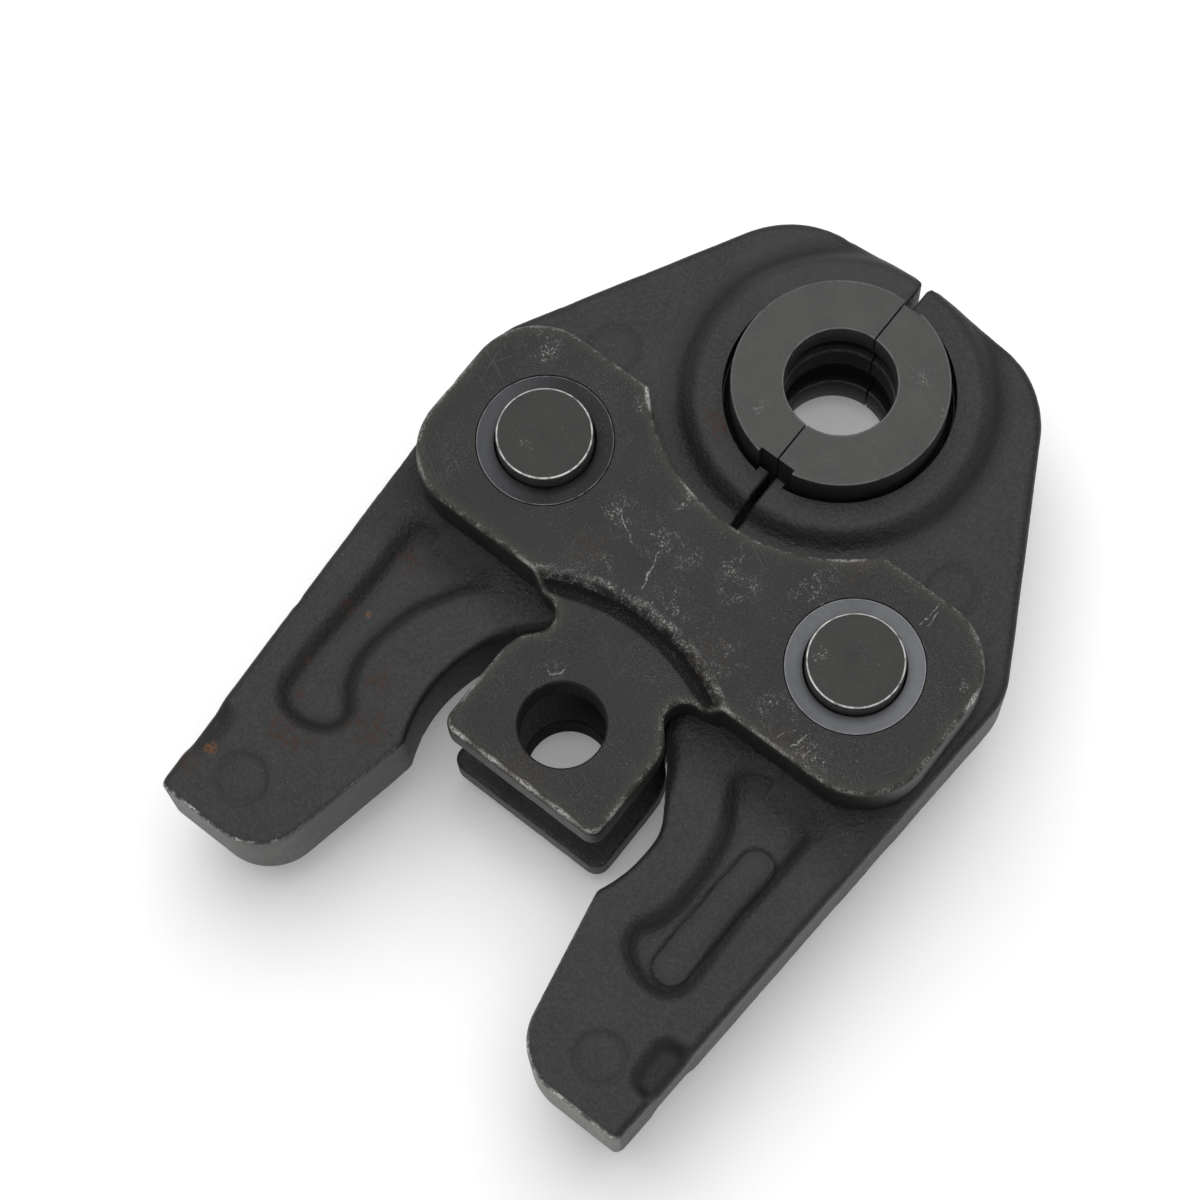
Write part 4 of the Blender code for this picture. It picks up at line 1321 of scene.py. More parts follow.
@dataclass
class JawArm:
    """One forged arm: boss, seat, pockets, marks and the ground faces that meet the machine."""

    side: Side
    cell: float = 0.42
    channel: float = 0.65
    nose: Point = (0.65, 98.8)
    elbow: Point = (25.7, 97.2)
    waist: Point = (52.3, 48.9)
    tip: Point = (46.6, -45.9)
    tip_inner: Point = (25.5, -45.9)
    cam_centre: Point = (-3.0, -6.0)
    cam_radius: float = 25.0
    cam_start: float = -24.6
    cam_end: float = 60.3
    finger_round: float = 2.0
    finger_end: Point = (11.1, 16.4)
    flank_heights: tuple[float, ...] = (-3.4, -1.6, 0.6, 3.8, 9.3, 11.3, 13.1, 14.6)
    flank_bulges: tuple[float, ...] = (0.0, 0.4, 1.3, 2.3, 3.2, 2.9, 1.6, 0.2)
    spring_radius: float = 9.6
    boss_radius: float = 25.0
    boss_height: float = 2.2
    seat_radius: float = 19.1
    relief_radius: float = 19.4
    relief_depth: float = 5.0
    ear_width: float = 2.5
    ear_reach: float = 0.8
    pocket_depth: float = 2.1
    pocket_slope: float = 4.4
    recess_top: Point = (37.2, 2.0)
    recess_foot: Point = (36.3, -18.7)
    recess_radius: float = 3.2
    recess_depth: float = 0.42
    mark_places: tuple[Point, Point] = ((36.7, -37.3), (35.0, 57.9))
    soft_rim: float = 1.4
    cam_rim: float = 1.1
    crisp_rim: float = 0.32
    pivot_bore: float = 8.3
    cutter_reach: float = 14.0
    detent_radius: float = 2.3
    detent_ends: tuple[float, float] = (17.0, 29.4)

    def inner_line(self) -> list[Point]:
        """The ground faces in order: tip end, tip curve, inner side, cam, spring pocket, split.

        Returns:
            The points, from the tip upwards.
        """
        start, stop = math.radians(self.cam_start), math.radians(self.cam_end)
        cam = arc(self.cam_centre, self.cam_radius, start, stop, 48)
        end = cam[-1] if self.side is Side.LEFT else self.finger_end
        pocket = Vector(SPRING_CENTRE)
        finger = Vector(end) - pocket
        start = math.atan2(finger.y, finger.x) + math.acos(self.spring_radius / finger.length)
        wall = arc(pocket, self.spring_radius, start, math.acos(self.channel / self.spring_radius), 24)
        points = rounded(self.tip_inner, self.tip, cam[0], 9.8, 24)
        points += rounded(cam[0], self.tip_inner, cam[1], 1.5, 6)
        points += [(self.thickened(x, y), y) for x, y in cam[1:-4]]
        points += rounded(end, points[-1], wall[0], self.finger_round, 8)
        return points + wall

    def thickened(self, x: float, y: float) -> float:
        """The cam line with the right finger's heavier flank."""
        if self.side is Side.LEFT:
            return x
        return x - float(np.interp(y, self.flank_heights, self.flank_bulges))

    def outline(self) -> list[Point]:
        """The whole outline of the right arm, clockwise from the tip's end face.

        Returns:
            Its points.
        """
        points = self.inner_line()
        points += rounded(self.nose, points[-1], self.elbow, 1.8, 10)
        points += rounded(self.elbow, self.nose, self.waist, 18.2, 32)
        points += rounded(self.waist, self.elbow, self.tip, 12.0, 16)
        points += rounded(self.tip, self.waist, self.tip_inner, 1.5, 8)
        return points

    def pocket_outline(self) -> list[Point]:
        """The forged pocket's wall at half its depth. The two arms' dies weren't quite alike.

        Returns:
            Its points, in one closed list.
        """
        if self.side is Side.RIGHT:
            knots = [(41.0, 12.0), (40.9, 3.4), (40.4, -3.6), (40.2, -10.0), (40.5, -16.7), (40.3, -20.3),
                     (38.6, -22.7), (35.6, -23.5), (31.9, -22.6), (29.2, -20.6), (28.3, -17.6), (29.8, -14.6),
                     (30.9, -10.9), (31.1, -5.7), (30.7, 0.0), (29.5, 4.5), (27.5, 8.0), (26.0, 10.9),
                     (26.9, 13.6), (29.6, 15.0), (34.5, 15.4), (39.2, 14.9)]
        else:
            knots = [(42.1, 11.0), (41.9, 3.2), (41.9, -3.8), (42.0, -10.9), (41.9, -17.3), (41.5, -20.7),
                     (39.5, -23.2), (35.8, -23.9), (32.2, -22.8), (30.2, -20.7), (30.0, -18.0), (31.8, -15.6),
                     (33.4, -13.0), (34.3, -9.4), (34.1, -4.7), (32.8, 1.3), (30.9, 5.5), (28.6, 9.3),
                     (26.8, 12.4), (28.2, 15.0), (31.8, 15.6), (36.0, 15.5), (39.8, 14.9), (41.7, 13.4)]
        return loop(knots, 6)

    def obround(self) -> list[Point]:
        """Outline of the shallow recess in the right arm's front pocket.

        Returns:
            Its points.
        """
        run = Vector(self.recess_top) - Vector(self.recess_foot)
        lie = math.atan2(run.y, run.x)
        quarter = math.pi / 2
        points = arc(self.recess_top, self.recess_radius, lie + quarter, lie - quarter, 20)
        return points + arc(self.recess_foot, self.recess_radius, lie - quarter, lie - 3 * quarter, 20)

    def surface(self, x: Array, y: Array, recess: bool) -> Array:
        """Height of a forged face above the arm's middle.

        Args:
            x: First coordinates of the grid, for the right arm.
            y: Second coordinates.
            recess: Whether the pocket has the obround recess.

        Returns:
            The heights.
        """
        height = np.full(x.shape, ARM_FACE)
        from_die = away_from(x, y, DIE_CENTRE)
        height += self.boss_height * smooth((27.9 - from_die) / 5.2)
        height -= 0.15 * np.exp(-((from_die - self.boss_radius - 3.6) / 1.2) ** 2)
        pocket = -outline_distance(x, y, self.pocket_outline())
        plate_side = x > 31.0 if self.side is Side.RIGHT else x < 38.0
        softer = smooth((y - 9.5) / 4.5) * np.where(plate_side, 1.0, 0.25)
        slope = self.pocket_slope * (1.0 + 1.3 * softer)
        height -= self.pocket_depth * smooth(0.5 + pocket / slope)
        for place in self.mark_places:
            away = away_from(x, y, place)
            height -= 0.26 * smooth((5.2 - away) / 1.3)
            height += 0.16 * smooth((3.9 - away) / 1.2)
        height -= self.notch_depth(x, y)
        if recess:
            height -= self.recess_depth * smooth(0.5 - outline_distance(x, y, self.obround()) / 0.45)
        return height

    def notch_depth(self, x: Array, y: Array) -> Array:
        """Depth of the forged notch in the tail's outer rim.

        Args:
            x: First coordinates.
            y: Second coordinates.

        Returns:
            The depths.
        """
        if self.side is Side.RIGHT:
            inner, low, high, slope, depth = 42.3, -37.2, -28.5, 3.0, 2.0
        else:
            inner, low, high, slope, depth = 44.6, -38.4, -29.8, 4.2, 1.3
        outer, corner = 60.0, 2.3
        outline = rounded((inner, high), (outer, high), (inner, low), corner, 6)
        outline += rounded((inner, low), (inner, high), (outer, low), corner, 6)
        outline += [(outer, low), (outer, high)]
        if self.side is Side.RIGHT:
            depth = depth * (0.6 + 0.13 * np.maximum(x - inner, 0.0))
        return depth * smooth(0.5 - outline_distance(x, y, outline) / slope)

    def relief(self) -> Relief:
        """The forging's field of heights and distances, drawn for the right arm.

        Returns:
            The field.
        """
        low, high = (-3.5, -47.5), (54.0, 100.5)
        x, y = Relief.grid(low, high, self.cell)
        edge = outline_distance(x, y, self.outline())
        ground = segment_distance(x, y, [self.tip] + self.inner_line() + [self.nose], closed=False)
        forged = segment_distance(x, y, [self.nose, self.elbow, self.waist, self.tip], closed=False)
        share = smooth(ground / np.maximum(ground + forged, 1e-6) * 2.0 - 0.5)
        below_finger = smooth((23.5 - y) / 4.0)
        along_cam = smooth((y + 22.0) / 9.0) * below_finger
        extra = 1.5 if self.side is Side.RIGHT else 0.7
        inner = self.crisp_rim + (self.cam_rim - self.crisp_rim) * along_cam
        inner = inner + extra * smooth(y / 9.0) * below_finger
        rim = inner + (self.soft_rim - inner) * share
        front = self.surface(x, y, self.side is Side.RIGHT)
        rear = self.surface(x, y, False)
        return Relief(low, self.cell, edge, front, -rear, rim, rim)

    def roughen(self, made: Piece, field: Relief) -> None:
        """Gives the forged skin its uneven, orange-peel surface. The ground walls stay smooth.

        Args:
            made: The arm.
            field: Its heights and distances.
        """
        points = coordinates(made)
        edge = field.sample(field.edge, points)
        line = [self.tip] + self.inner_line() + [self.nose]
        ground = segment_distance(points[:, 0], points[:, 1], line, closed=False)
        cam = smooth((points[:, 1] + 21.0) / 4.0) * smooth((24.0 - points[:, 1]) / 3.0)
        free = np.where(edge > -0.9, np.maximum(smooth((ground - 0.3) / 1.5), cam), 1.0)
        seed = 3.0 + self.side.value
        coarse = self.coarseness(points)
        height = 0.07 * lumps(points, 9.0, seed, 2)
        height += (0.012 + 0.035 * coarse) * lumps(points, 1.5, seed + 5.0, 2)
        dents = np.maximum(lumps(points, 3.0, seed + 9.0, 2) - 0.35, 0.0)
        height -= 0.16 * dents * (0.4 + field.near_rim(points, 1.6))
        set_coordinates(made, points + normals(made) * (height * free)[:, None])

    def coarseness(self, points: Array) -> Array:
        """Where the forged skin is coarse: near the plate, in the slopes and in the boss's fillet. The finish
        also paints the oxide paler there, as painted light against the plate's shade.

        Args:
            points: Points in millimetres.

        Returns:
            A share from 0.1 to 1 for each point.
        """
        x, y = points[:, 0], points[:, 1]
        near_plate = smooth((y - 4.0) / 8.0) * smooth((34.0 - y) / 6.0)
        pocket = np.abs(outline_distance(x, y, self.pocket_outline()))
        slopes = np.exp(-(pocket / 4.0) ** 2)
        from_die = away_from(x, y, DIE_CENTRE)
        fillet = np.exp(-((from_die - self.boss_radius - 1.0) / 2.6) ** 2)
        return np.clip(np.maximum(np.maximum(near_plate, 0.35 * slopes), 0.3 * fillet), 0.1, 1.0)

    def seat_tools(self) -> list[Piece]:
        """The cutters of the seat, its groove and the hidden detent hole, for the right arm.

        Returns:
            The cutters.
        """
        centre = DIE_CENTRE
        ear = self.channel + self.ear_width
        shelf = self.seat_radius - self.ear_reach
        bite = math.sqrt(self.seat_radius ** 2 - ear ** 2)
        lower = math.atan2(-bite, ear)
        tall = self.cutter_reach
        seat = [(-4.0, centre[1] + shelf), (-4.0, centre[1] - shelf), (ear, centre[1] - shelf)]
        seat += arc(centre, self.seat_radius, lower, -lower, 64)
        seat += [(ear, centre[1] + shelf)]
        tools = [column("seat", seat, -tall, tall)]
        narrow = self.channel + 1.9
        lower = math.asin(math.sqrt(self.relief_radius ** 2 - narrow ** 2) / self.relief_radius)
        groove = arc(centre, self.relief_radius, -lower, lower, 64)
        deep = ARM_FACE + self.boss_height - self.relief_depth
        tools.append(column("groove_front", groove, deep, tall))
        tools.append(column("groove_rear", groove, -tall, -deep))
        bore = arc(PIVOT, self.pivot_bore, 0.0, 2 * math.pi, 64)[:-1]
        tools.append(column("pivot", bore, -tall + 2.0, tall - 2.0))
        hole = arc((0.0, 0.0), self.detent_radius, 0.0, 2 * math.pi, 24)[:-1]
        points = [(end, centre[1] + across, up) for end in self.detent_ends for across, up in hole]
        tools.append(make_object("detent", points, stack_faces(len(hole), 2)))
        return tools

    def mirror(self, made: Piece) -> None:
        """Turns a right arm into a left one.

        Args:
            made: The arm.
        """
        if self.side is Side.RIGHT:
            return
        points = coordinates(made)
        points[:, 0] *= -1.0
        set_coordinates(made, points)
        made.data.flip_normals()

    def build(self) -> Piece:
        """Makes the arm's mesh and the marks that its finish reads.

        Returns:
            The arm.
        """
        field = self.relief()
        made = field.solid(self.side.word + "_forged_arm")
        self.roughen(made, field)
        cut(made, *[outward(tool) for tool in self.seat_tools()])
        points = coordinates(made)
        edge = field.sample(field.edge, points)
        from_die = away_from(points[:, 0], points[:, 1], DIE_CENTRE)
        outside = (from_die > self.relief_radius + 0.2).astype(float)
        line = [self.tip] + self.inner_line()
        to_ground = segment_distance(points[:, 0], points[:, 1], line, closed=False)
        tips = smooth((-16.5 - points[:, 1]) / 1.5)
        wall = smooth((edge + 0.45) / 0.3) * smooth((1.2 - to_ground) / 0.6)
        mark(made, "ground", wall * tips * outside * (0.42 + 0.58 * smooth((-33.0 - points[:, 1]) / 9.0)))
        crisp = np.exp(-((to_ground - 0.2) / 0.5) ** 2)
        end = 0.55 + 0.45 * smooth((-40.0 - points[:, 1]) / 3.0)
        mark(made, "wear", field.near_rim(points, 0.62) * outside * (0.25 + 0.75 * crisp * tips) * end)
        mark(made, "coarse", self.coarseness(points))
        bend = field.bend(points, 6)
        mark(made, "crest", np.clip(bend * 9.0, 0.0, 1.0) * outside)
        # The hollows and the tail notch are marked for painted shade.
        notch = self.notch_depth(points[:, 0], points[:, 1]) * (0.19 if self.side is Side.RIGHT else 0.05)
        mark(made, "hollow", (np.clip(-bend * 7.0, 0.0, 1.0) + notch) * outside)
        self.mirror(made)
        shade(made, 38.0)
        return made

    def finish(self) -> ForgedOxide:
        """The oxide with this arm's own rust, and on the left arm painted light on the upper boss.

        Returns:
            The finish.
        """
        if self.side is Side.RIGHT:
            return ForgedOxide(ground=(0.190, 0.188, 0.172))
        return ForgedOxide(
            ground=(0.085, 0.085, 0.078), lit_patches=((-14.0, 93.0, 12.0), (-6.0, 96.0, 9.0), (-22.0, 86.0, 9.0)),
            spots=((-41.0, -14.8, 1.4), (-38.6, -20.6, 1.6), (-37.0, -27.2, 3.2), (-33.8, -27.8, 2.0),
                   (-31.7, -25.3, 1.6), (-26.3, -18.2, 4.6), (-45.8, -40.0, 3.2), (-39.2, 8.2, 3.0),
                   (-41.9, -4.1, 1.8), (-29.4, -10.8, 3.0), (-12.4, 57.9, 4.5)),
            orange=((-43.9, -36.2, 1.5), (-38.6, -3.0, 0.8)))

    def dress(self, made: Piece) -> None:
        """Gives the arm its finish and its place in the mechanism.

        Args:
            made: The arm.
        """
        dressed(made, self.finish().make(self.side.word + "_arm_oxide"))
        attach(made, self.side.body)
        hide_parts(self.side.word + "_jaw_arm")


@dataclass
class SidePlate:
    """One T-shaped side plate with its stepped lug, pin seats and bolt hole."""

    face: Face
    cell: float = 0.42
    head_half: float = 49.7
    head_top: float = 53.0
    head_foot: float = 16.8
    head_corner: float = 12.0
    hollow_radius: float = 31.35
    lug_half: float = 15.6
    lug_foot: float = -11.6
    lug_corner: float = 2.5
    step: float = 3.0
    step_radius: float = 36.0
    step_top: float = 22.4
    bolt_radius: float = 7.02
    counterbore: float = 11.35
    counterbore_depth: float = 2.3
    pin_bore: float = 8.3
    spring_hole: float = 3.3
    spring_hole_end: float = 11.6

    def outline(self) -> list[Point]:
        """The plate's outline, anticlockwise from the middle of the lug's foot.

        Returns:
            Its points.
        """
        corner = self.lug_corner
        lug = arc((self.lug_half - corner, self.lug_foot + corner), corner, -math.pi / 2, 0.0, 8)
        notch = [(15.5, 4.9), (14.95, 7.0), (14.1, 8.5)]
        notch += arc((15.2, 12.1), 3.3, math.radians(226.0), math.radians(78.0), 18)
        neck = (19.2, self.head_foot)
        side = self.head_half - self.head_corner
        low = arc((side, self.head_foot + self.head_corner), self.head_corner, -math.pi / 2, 0.0, 28)
        high = arc((side, self.head_top - self.head_corner), self.head_corner, 0.0, math.pi / 2, 28)
        half = math.asin((DIE_CENTRE[1] - self.head_top) / self.hollow_radius)
        hollow = arc(DIE_CENTRE, self.hollow_radius, -half, half - math.pi, 80)
        middle = len(hollow) // 2
        right = lug + [(self.lug_half, 2.6)] + notch + [neck] + low + high + hollow[:middle]
        return right + [hollow[middle]] + [(-x, y) for x, y in reversed(right)]

    def relief(self) -> Relief:
        """The plate's field of heights and distances.

        Returns:
            The field.
        """
        low, high = (-51.2, -13.2), (51.5, 54.6)
        x, y = Relief.grid(low, high, self.cell)
        edge = outline_distance(x, y, self.outline())
        away = np.hypot(x, y - (self.step_top - self.step_radius)) - self.step_radius
        outer = PLATE_FACE - self.step * smooth((0.35 - away) / 2.5)
        inner = np.full(x.shape, PLATE_INNER)
        soft = 1.05 + 0.35 * smooth((-7.0 - y) / 3.0)
        crisp = np.full(x.shape, 0.45)
        if self.face is Face.FRONT:
            return Relief(low, self.cell, edge, outer, inner, soft, crisp)
        return Relief(low, self.cell, edge, -inner, -outer, crisp, soft)

    def nick(self, made: Piece, field: Relief) -> None:
        """Dents the rims a little and leaves the faces almost flat.

        Args:
            made: The plate.
            field: Its heights and distances.
        """
        points = coordinates(made)
        rim = field.near_rim(points, 1.3)
        seed = 21.0 + self.face.value
        dents = np.maximum(lumps(points, 2.4, seed, 3) - 0.12, 0.0)
        height = -0.16 * dents * rim + 0.025 * lumps(points, 7.0, seed + 4.0, 2)
        set_coordinates(made, points + normals(made) * height[:, None])

    def tools(self) -> list[Piece]:
        """The cutters of the pin seats, the bolt hole and the spring pin's blind hole.

        Returns:
            The cutters.
        """
        made = []
        sign = self.face.value
        above, below = 21.0, 5.0
        wide, seat = self.counterbore, PLATE_FACE - self.counterbore_depth
        profile = [(wide + 0.08, above), (wide + 0.08, PLATE_FACE + 0.1), (wide + 0.03, PLATE_FACE - 0.08),
                   (wide, PLATE_FACE - 0.2), (wide, seat), (self.pin_bore, seat), (self.pin_bore, below)]
        for side in Side:
            made.append(lathe("seat", [(r, sign * z) for r, z in profile], side.pivot, 128))
        lug, wide = PLATE_FACE - self.step, self.bolt_radius
        bolt = [(wide + 0.9, above), (wide + 0.9, lug + 0.6), (wide + 0.3, lug - 0.03),
                (wide + 0.1, lug - 0.16), (wide, lug - 0.4), (wide, lug - 1.0), (wide, below)]
        made.append(lathe("bolt", [(r, sign * z) for r, z in bolt], BOLT_CENTRE, 96))
        hole = [(self.spring_hole, sign * self.spring_hole_end), (self.spring_hole, sign * below)]
        made.append(lathe("spring_hole", hole, SPRING_CENTRE, 32))
        return made

    def rubbed(self, points: Array) -> Array:
        """Where the rims are painted bright, partly as rubbed metal and partly as painted highlight: the
        lug's foot, the die hollow's rim and a few places on the head.

        Args:
            points: Points in millimetres.

        Returns:
            A share from 0 to 1 for each point.
        """
        x, y = points[:, 0], points[:, 1]
        if self.face is Face.REAR:
            return 0.3 * smooth((-8.0 - y) / 2.0)
        result = smooth((-8.5 - y) / 2.0) * (0.75 + 0.25 * np.sin(x * 0.9))
        from_die = away_from(x, y, DIE_CENTRE)
        result = np.maximum(result, 0.13 * smooth((self.hollow_radius + 2.2 - from_die) / 1.2))
        places = ((-22.6, 51.6, 2.6, 0.9), (-7.4, 42.9, 2.2, 0.6), (19.4, 48.7, 3.6, 0.6),
                  (49.0, 42.0, 2.4, 0.7), (-49.4, 33.0, 6.0, 0.5), (-44.0, 20.0, 4.0, 0.45),
                  (-20.0, 17.5, 4.0, 0.5), (19.0, 17.6, 3.0, 0.6), (28.0, 17.2, 6.0, 0.45),
                  (42.0, 19.0, 4.0, 0.4), (15.4, -6.0, 3.0, 0.5), (-15.4, -4.0, 4.0, 0.5))
        for *centre, reach, strength in places:
            result = np.maximum(result, strength * np.exp(-(away_from(x, y, centre) / reach) ** 2))
        return result

    def build(self) -> Piece:
        """Makes the plate's mesh and the marks that its finish reads.

        Returns:
            The plate.
        """
        field = self.relief()
        made = field.solid(self.face.word + "_milled_plate")
        self.nick(made, field)
        cut(made, *[outward(tool) for tool in self.tools()])
        points = coordinates(made)
        outer = np.where(self.face.value * points[:, 2] > 12.0, 1.0, 0.4)
        near = field.near_rim(points, 0.85) * outer
        mark(made, "wear", near)
        # The rubbed rims carry both real wear and a painted highlight.
        mark(made, "rub", field.near_rim(points, 0.7) * outer * self.rubbed(points))
        # The outer rims are marked for a painted highlight band.
        rim = field.near_rim(points, 1.3) * (outer > 0.9)
        mark(made, "rim", rim)
        bend = field.bend(points, 6)
        mark(made, "crest", np.clip(bend * 6.0, 0.0, 1.0))
        # The hollows and the bolt hole's walls are marked for painted shade.
        from_bolt = away_from(points[:, 0], points[:, 1], BOLT_CENTRE)
        face = PLATE_FACE - self.step - self.face.value * points[:, 2]
        bolt = (from_bolt < self.bolt_radius + 0.1) & (face > 0.5)
        mark(made, "hollow", np.maximum(np.clip(-bend * 6.0, 0.0, 1.0) * (1.0 - rim), bolt))
        return shade(made, 38.0)

    def finish(self) -> RolledOxide:
        """The plate's oxide with its scuffs: the front one's are those that the light picks out.

        Returns:
            The finish.
        """
        if self.face is Face.REAR:
            return RolledOxide(scuffs=((12.0, 30.0, 13.0), (-20.0, 24.0, 9.0)))
        return RolledOxide(
            scuffs=((-6.0, 33.1, 4.5), (-1.3, 33.6, 3.5), (9.2, 34.2, 4.5), (18.7, 41.5, 5.0),
                    (-13.7, 32.6, 4.5), (-41.7, 47.1, 4.5), (5.5, 37.8, 4.0), (1.7, 24.9, 5.0),
                    (14.8, 24.1, 4.0), (-6.1, 6.7, 2.6), (-22.3, 50.0, 2.4), (-7.4, 41.5, 3.2),
                    (19.4, 49.0, 3.4), (46.8, 43.3, 2.6), (-12.0, 23.0, 4.0), (35.0, 18.8, 4.0),
                    (26.0, 22.0, 4.0)),
            scratches=(((-4.9, 32.3), (-3.4, 24.5), 0.16), ((-9.0, 30.0), (-14.5, 33.5), 0.14),
                       ((35.6, 46.8), (35.7, 51.9), 0.10), ((36.6, 47.5), (36.4, 51.0), 0.08),
                       ((33.7, 17.9), (34.0, 21.6), 0.10), ((31.2, 18.2), (32.2, 22.4), 0.10),
                       ((28.6, 18.4), (30.2, 21.6), 0.08), ((-6.8, 5.2), (-5.2, 7.6), 0.16)),
            rust=((22.0, 48.4, 4.5), (30.0, 18.0, 6.0), (12.0, 22.0, 5.0), (0.0, -9.5, 6.0),
                  (-14.0, 26.0, 5.0)))

    def dress(self, made: Piece) -> None:
        """Gives the plate its finish and its place in the mechanism.

        Args:
            made: The plate.
        """
        dressed(made, self.finish().make(self.face.word + "_plate_oxide"))
        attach(made, "root")
        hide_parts(self.face.word + "_side_plate")


@dataclass
class DieInsert:
    """One half of the split die: a turned ring with press grooves in its bore."""

    side: Side
    radius: float = 18.1
    seat_radius: float = 19.0
    seat_half: float = 4.9
    top: float = 15.0
    bore: float = 9.3
    lip: float = 4.9
    groove_width: float = 4.7
    groove_depth: float = 1.1
    ridge: float = 5.2
    bead_width: float = 8.4
    bead_depth: float = 2.0
    bevel: float = 0.3
    split: float = 0.15
    key_half: float = 3.35
    key_shelf: float = 16.95

    def profile(self) -> list[Point]:
        """The section: outer wall, rounded rims and the press profile up the bore.

        Returns:
            Radius and height pairs.
        """
        b, top = self.bevel, self.top
        groove_top = top - self.lip
        groove_foot = groove_top - self.groove_width
        bead_top = groove_foot - self.ridge
        bead_foot = bead_top - self.bead_width
        rim_out = arc((self.radius - b, top - b), b, math.pi / 2, 0.0, 5)
        step = [(self.radius, self.seat_half + 0.5), (self.seat_radius - 0.3, self.seat_half),
                (self.seat_radius, self.seat_half - 0.3)]
        rim_out += step + [(r, -z) for r, z in reversed(step)]
        low_out = [(r, -z) for r, z in reversed(rim_out[:6])]
        rim_in = arc((self.bore + b, top - b), b, math.pi, math.pi / 2, 5)
        low_in = [(r, -z) for r, z in reversed(rim_in)]
        middle = (bead_top + bead_foot) / 2
        bore, deep = self.bore, self.bore + self.groove_depth
        bead = [(bore, bead_foot - 0.4), (bore, bead_foot - 0.1)]
        for i in range(1, 16):
            turn = math.pi * i / 16
            height = middle - math.cos(turn) * self.bead_width / 2
            bead.append((bore + self.bead_depth * math.sin(turn), height))
        bead += [(bore, bead_top + 0.1), (bore, bead_top + 0.4)]
        groove = [(bore, groove_foot - 0.4), (bore, groove_foot - 0.1), (bore + 0.1, groove_foot + 0.1),
                  (deep - 0.15, groove_foot + 0.5), (deep, groove_foot + 0.75), (deep, groove_top - 0.75),
                  (deep - 0.15, groove_top - 0.5), (bore + 0.1, groove_top - 0.1), (bore, groove_top + 0.1),
                  (bore, groove_top + 0.4)]
        return rim_out + low_out + low_in + bead + groove + rim_in

    def build(self, tree: NodeTree, material: Finish) -> Piece:
        """Sweeps the section through half a turn and cuts the split and the keyways.

        Args:
            tree: The tree that sweeps a section.
            material: Its finish.

        Returns:
            The insert.
        """
        half = math.radians(94.0)
        middle = 0.0 if self.side is Side.RIGHT else math.pi
        made = swept(tree, self.side.word + "_turned_insert", self.profile(), DIE_CENTRE, Start=middle - half,
                     Sweep=2 * half, Steps=160, Closed=False, Finish=material)
        sign = self.side.value
        reach = self.seat_radius + 3.0
        across = sorted((self.split * sign, -reach * sign))
        y = DIE_CENTRE[1]
        tools = [column("split", rectangle((across[0], y - reach), (across[1], y + reach)), -20.0, 20.0)]
        far_shelf = 17.3 if self.side is Side.RIGHT else 17.9
        for way, shelf in ((-1, self.key_shelf), (1, far_shelf)):
            low, high = sorted((y + way * shelf, y + way * reach))
            tools.append(column("key", rectangle((-self.key_half, low), (self.key_half, high)), -20.0, 20.0))
        cut(made, *[outward(tool) for tool in tools], solver="EXACT")
        points = coordinates(made)
        # The walls below the end faces are marked for painted shade.
        mark(made, "shaded", smooth((self.top - 0.25 - np.abs(points[:, 2])) / 0.5))
        levels = [self.top - self.lip + 0.1, self.top - self.lip - self.groove_width - 0.1]
        levels += [levels[1] - self.ridge + 0.2, levels[1] - self.ridge - self.bead_width]
        from_level = np.min(np.abs(points[:, 2][:, None] - np.array(levels)), axis=1)
        off_bore = np.abs(away_from(points[:, 0], points[:, 1], DIE_CENTRE) - self.bore)
        mark(made, "edge", ((from_level < 0.08) & (off_bore < 0.06)).astype(float))
        return shade(made, 30.0)

    def finish(self) -> TurnedSteel:
        """The insert's brown-grey oxide.

        Returns:
            The finish.
        """
        scuffs = ((10.4, 82.2, 2.6), (16.0, 79.0, 1.6)) if self.side is Side.RIGHT else ((-8.0, 62.0, 2.0),)
        return TurnedSteel(base=(0.026, 0.0253, 0.0240), pale=(0.038, 0.0368, 0.0348), centre=DIE_CENTRE,
                           roughness=0.45, metallic=0.0, marks=0.30, mark_depth=0.0012,
                           rim=(self.bore + 0.2, self.radius - 0.15), rim_width=0.16, rim_shine=0.22,
                           scratch=0.03, scuffs=scuffs, gloss=0.26, shaded=0.96, edges=0.5,
                           bare=(0.34, 0.34, 0.33))

    def dress(self, made: Piece) -> None:
        """Gives the insert its place in the mechanism."""
        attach(made, self.side.body)
        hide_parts(self.side.word + "_die_insert")


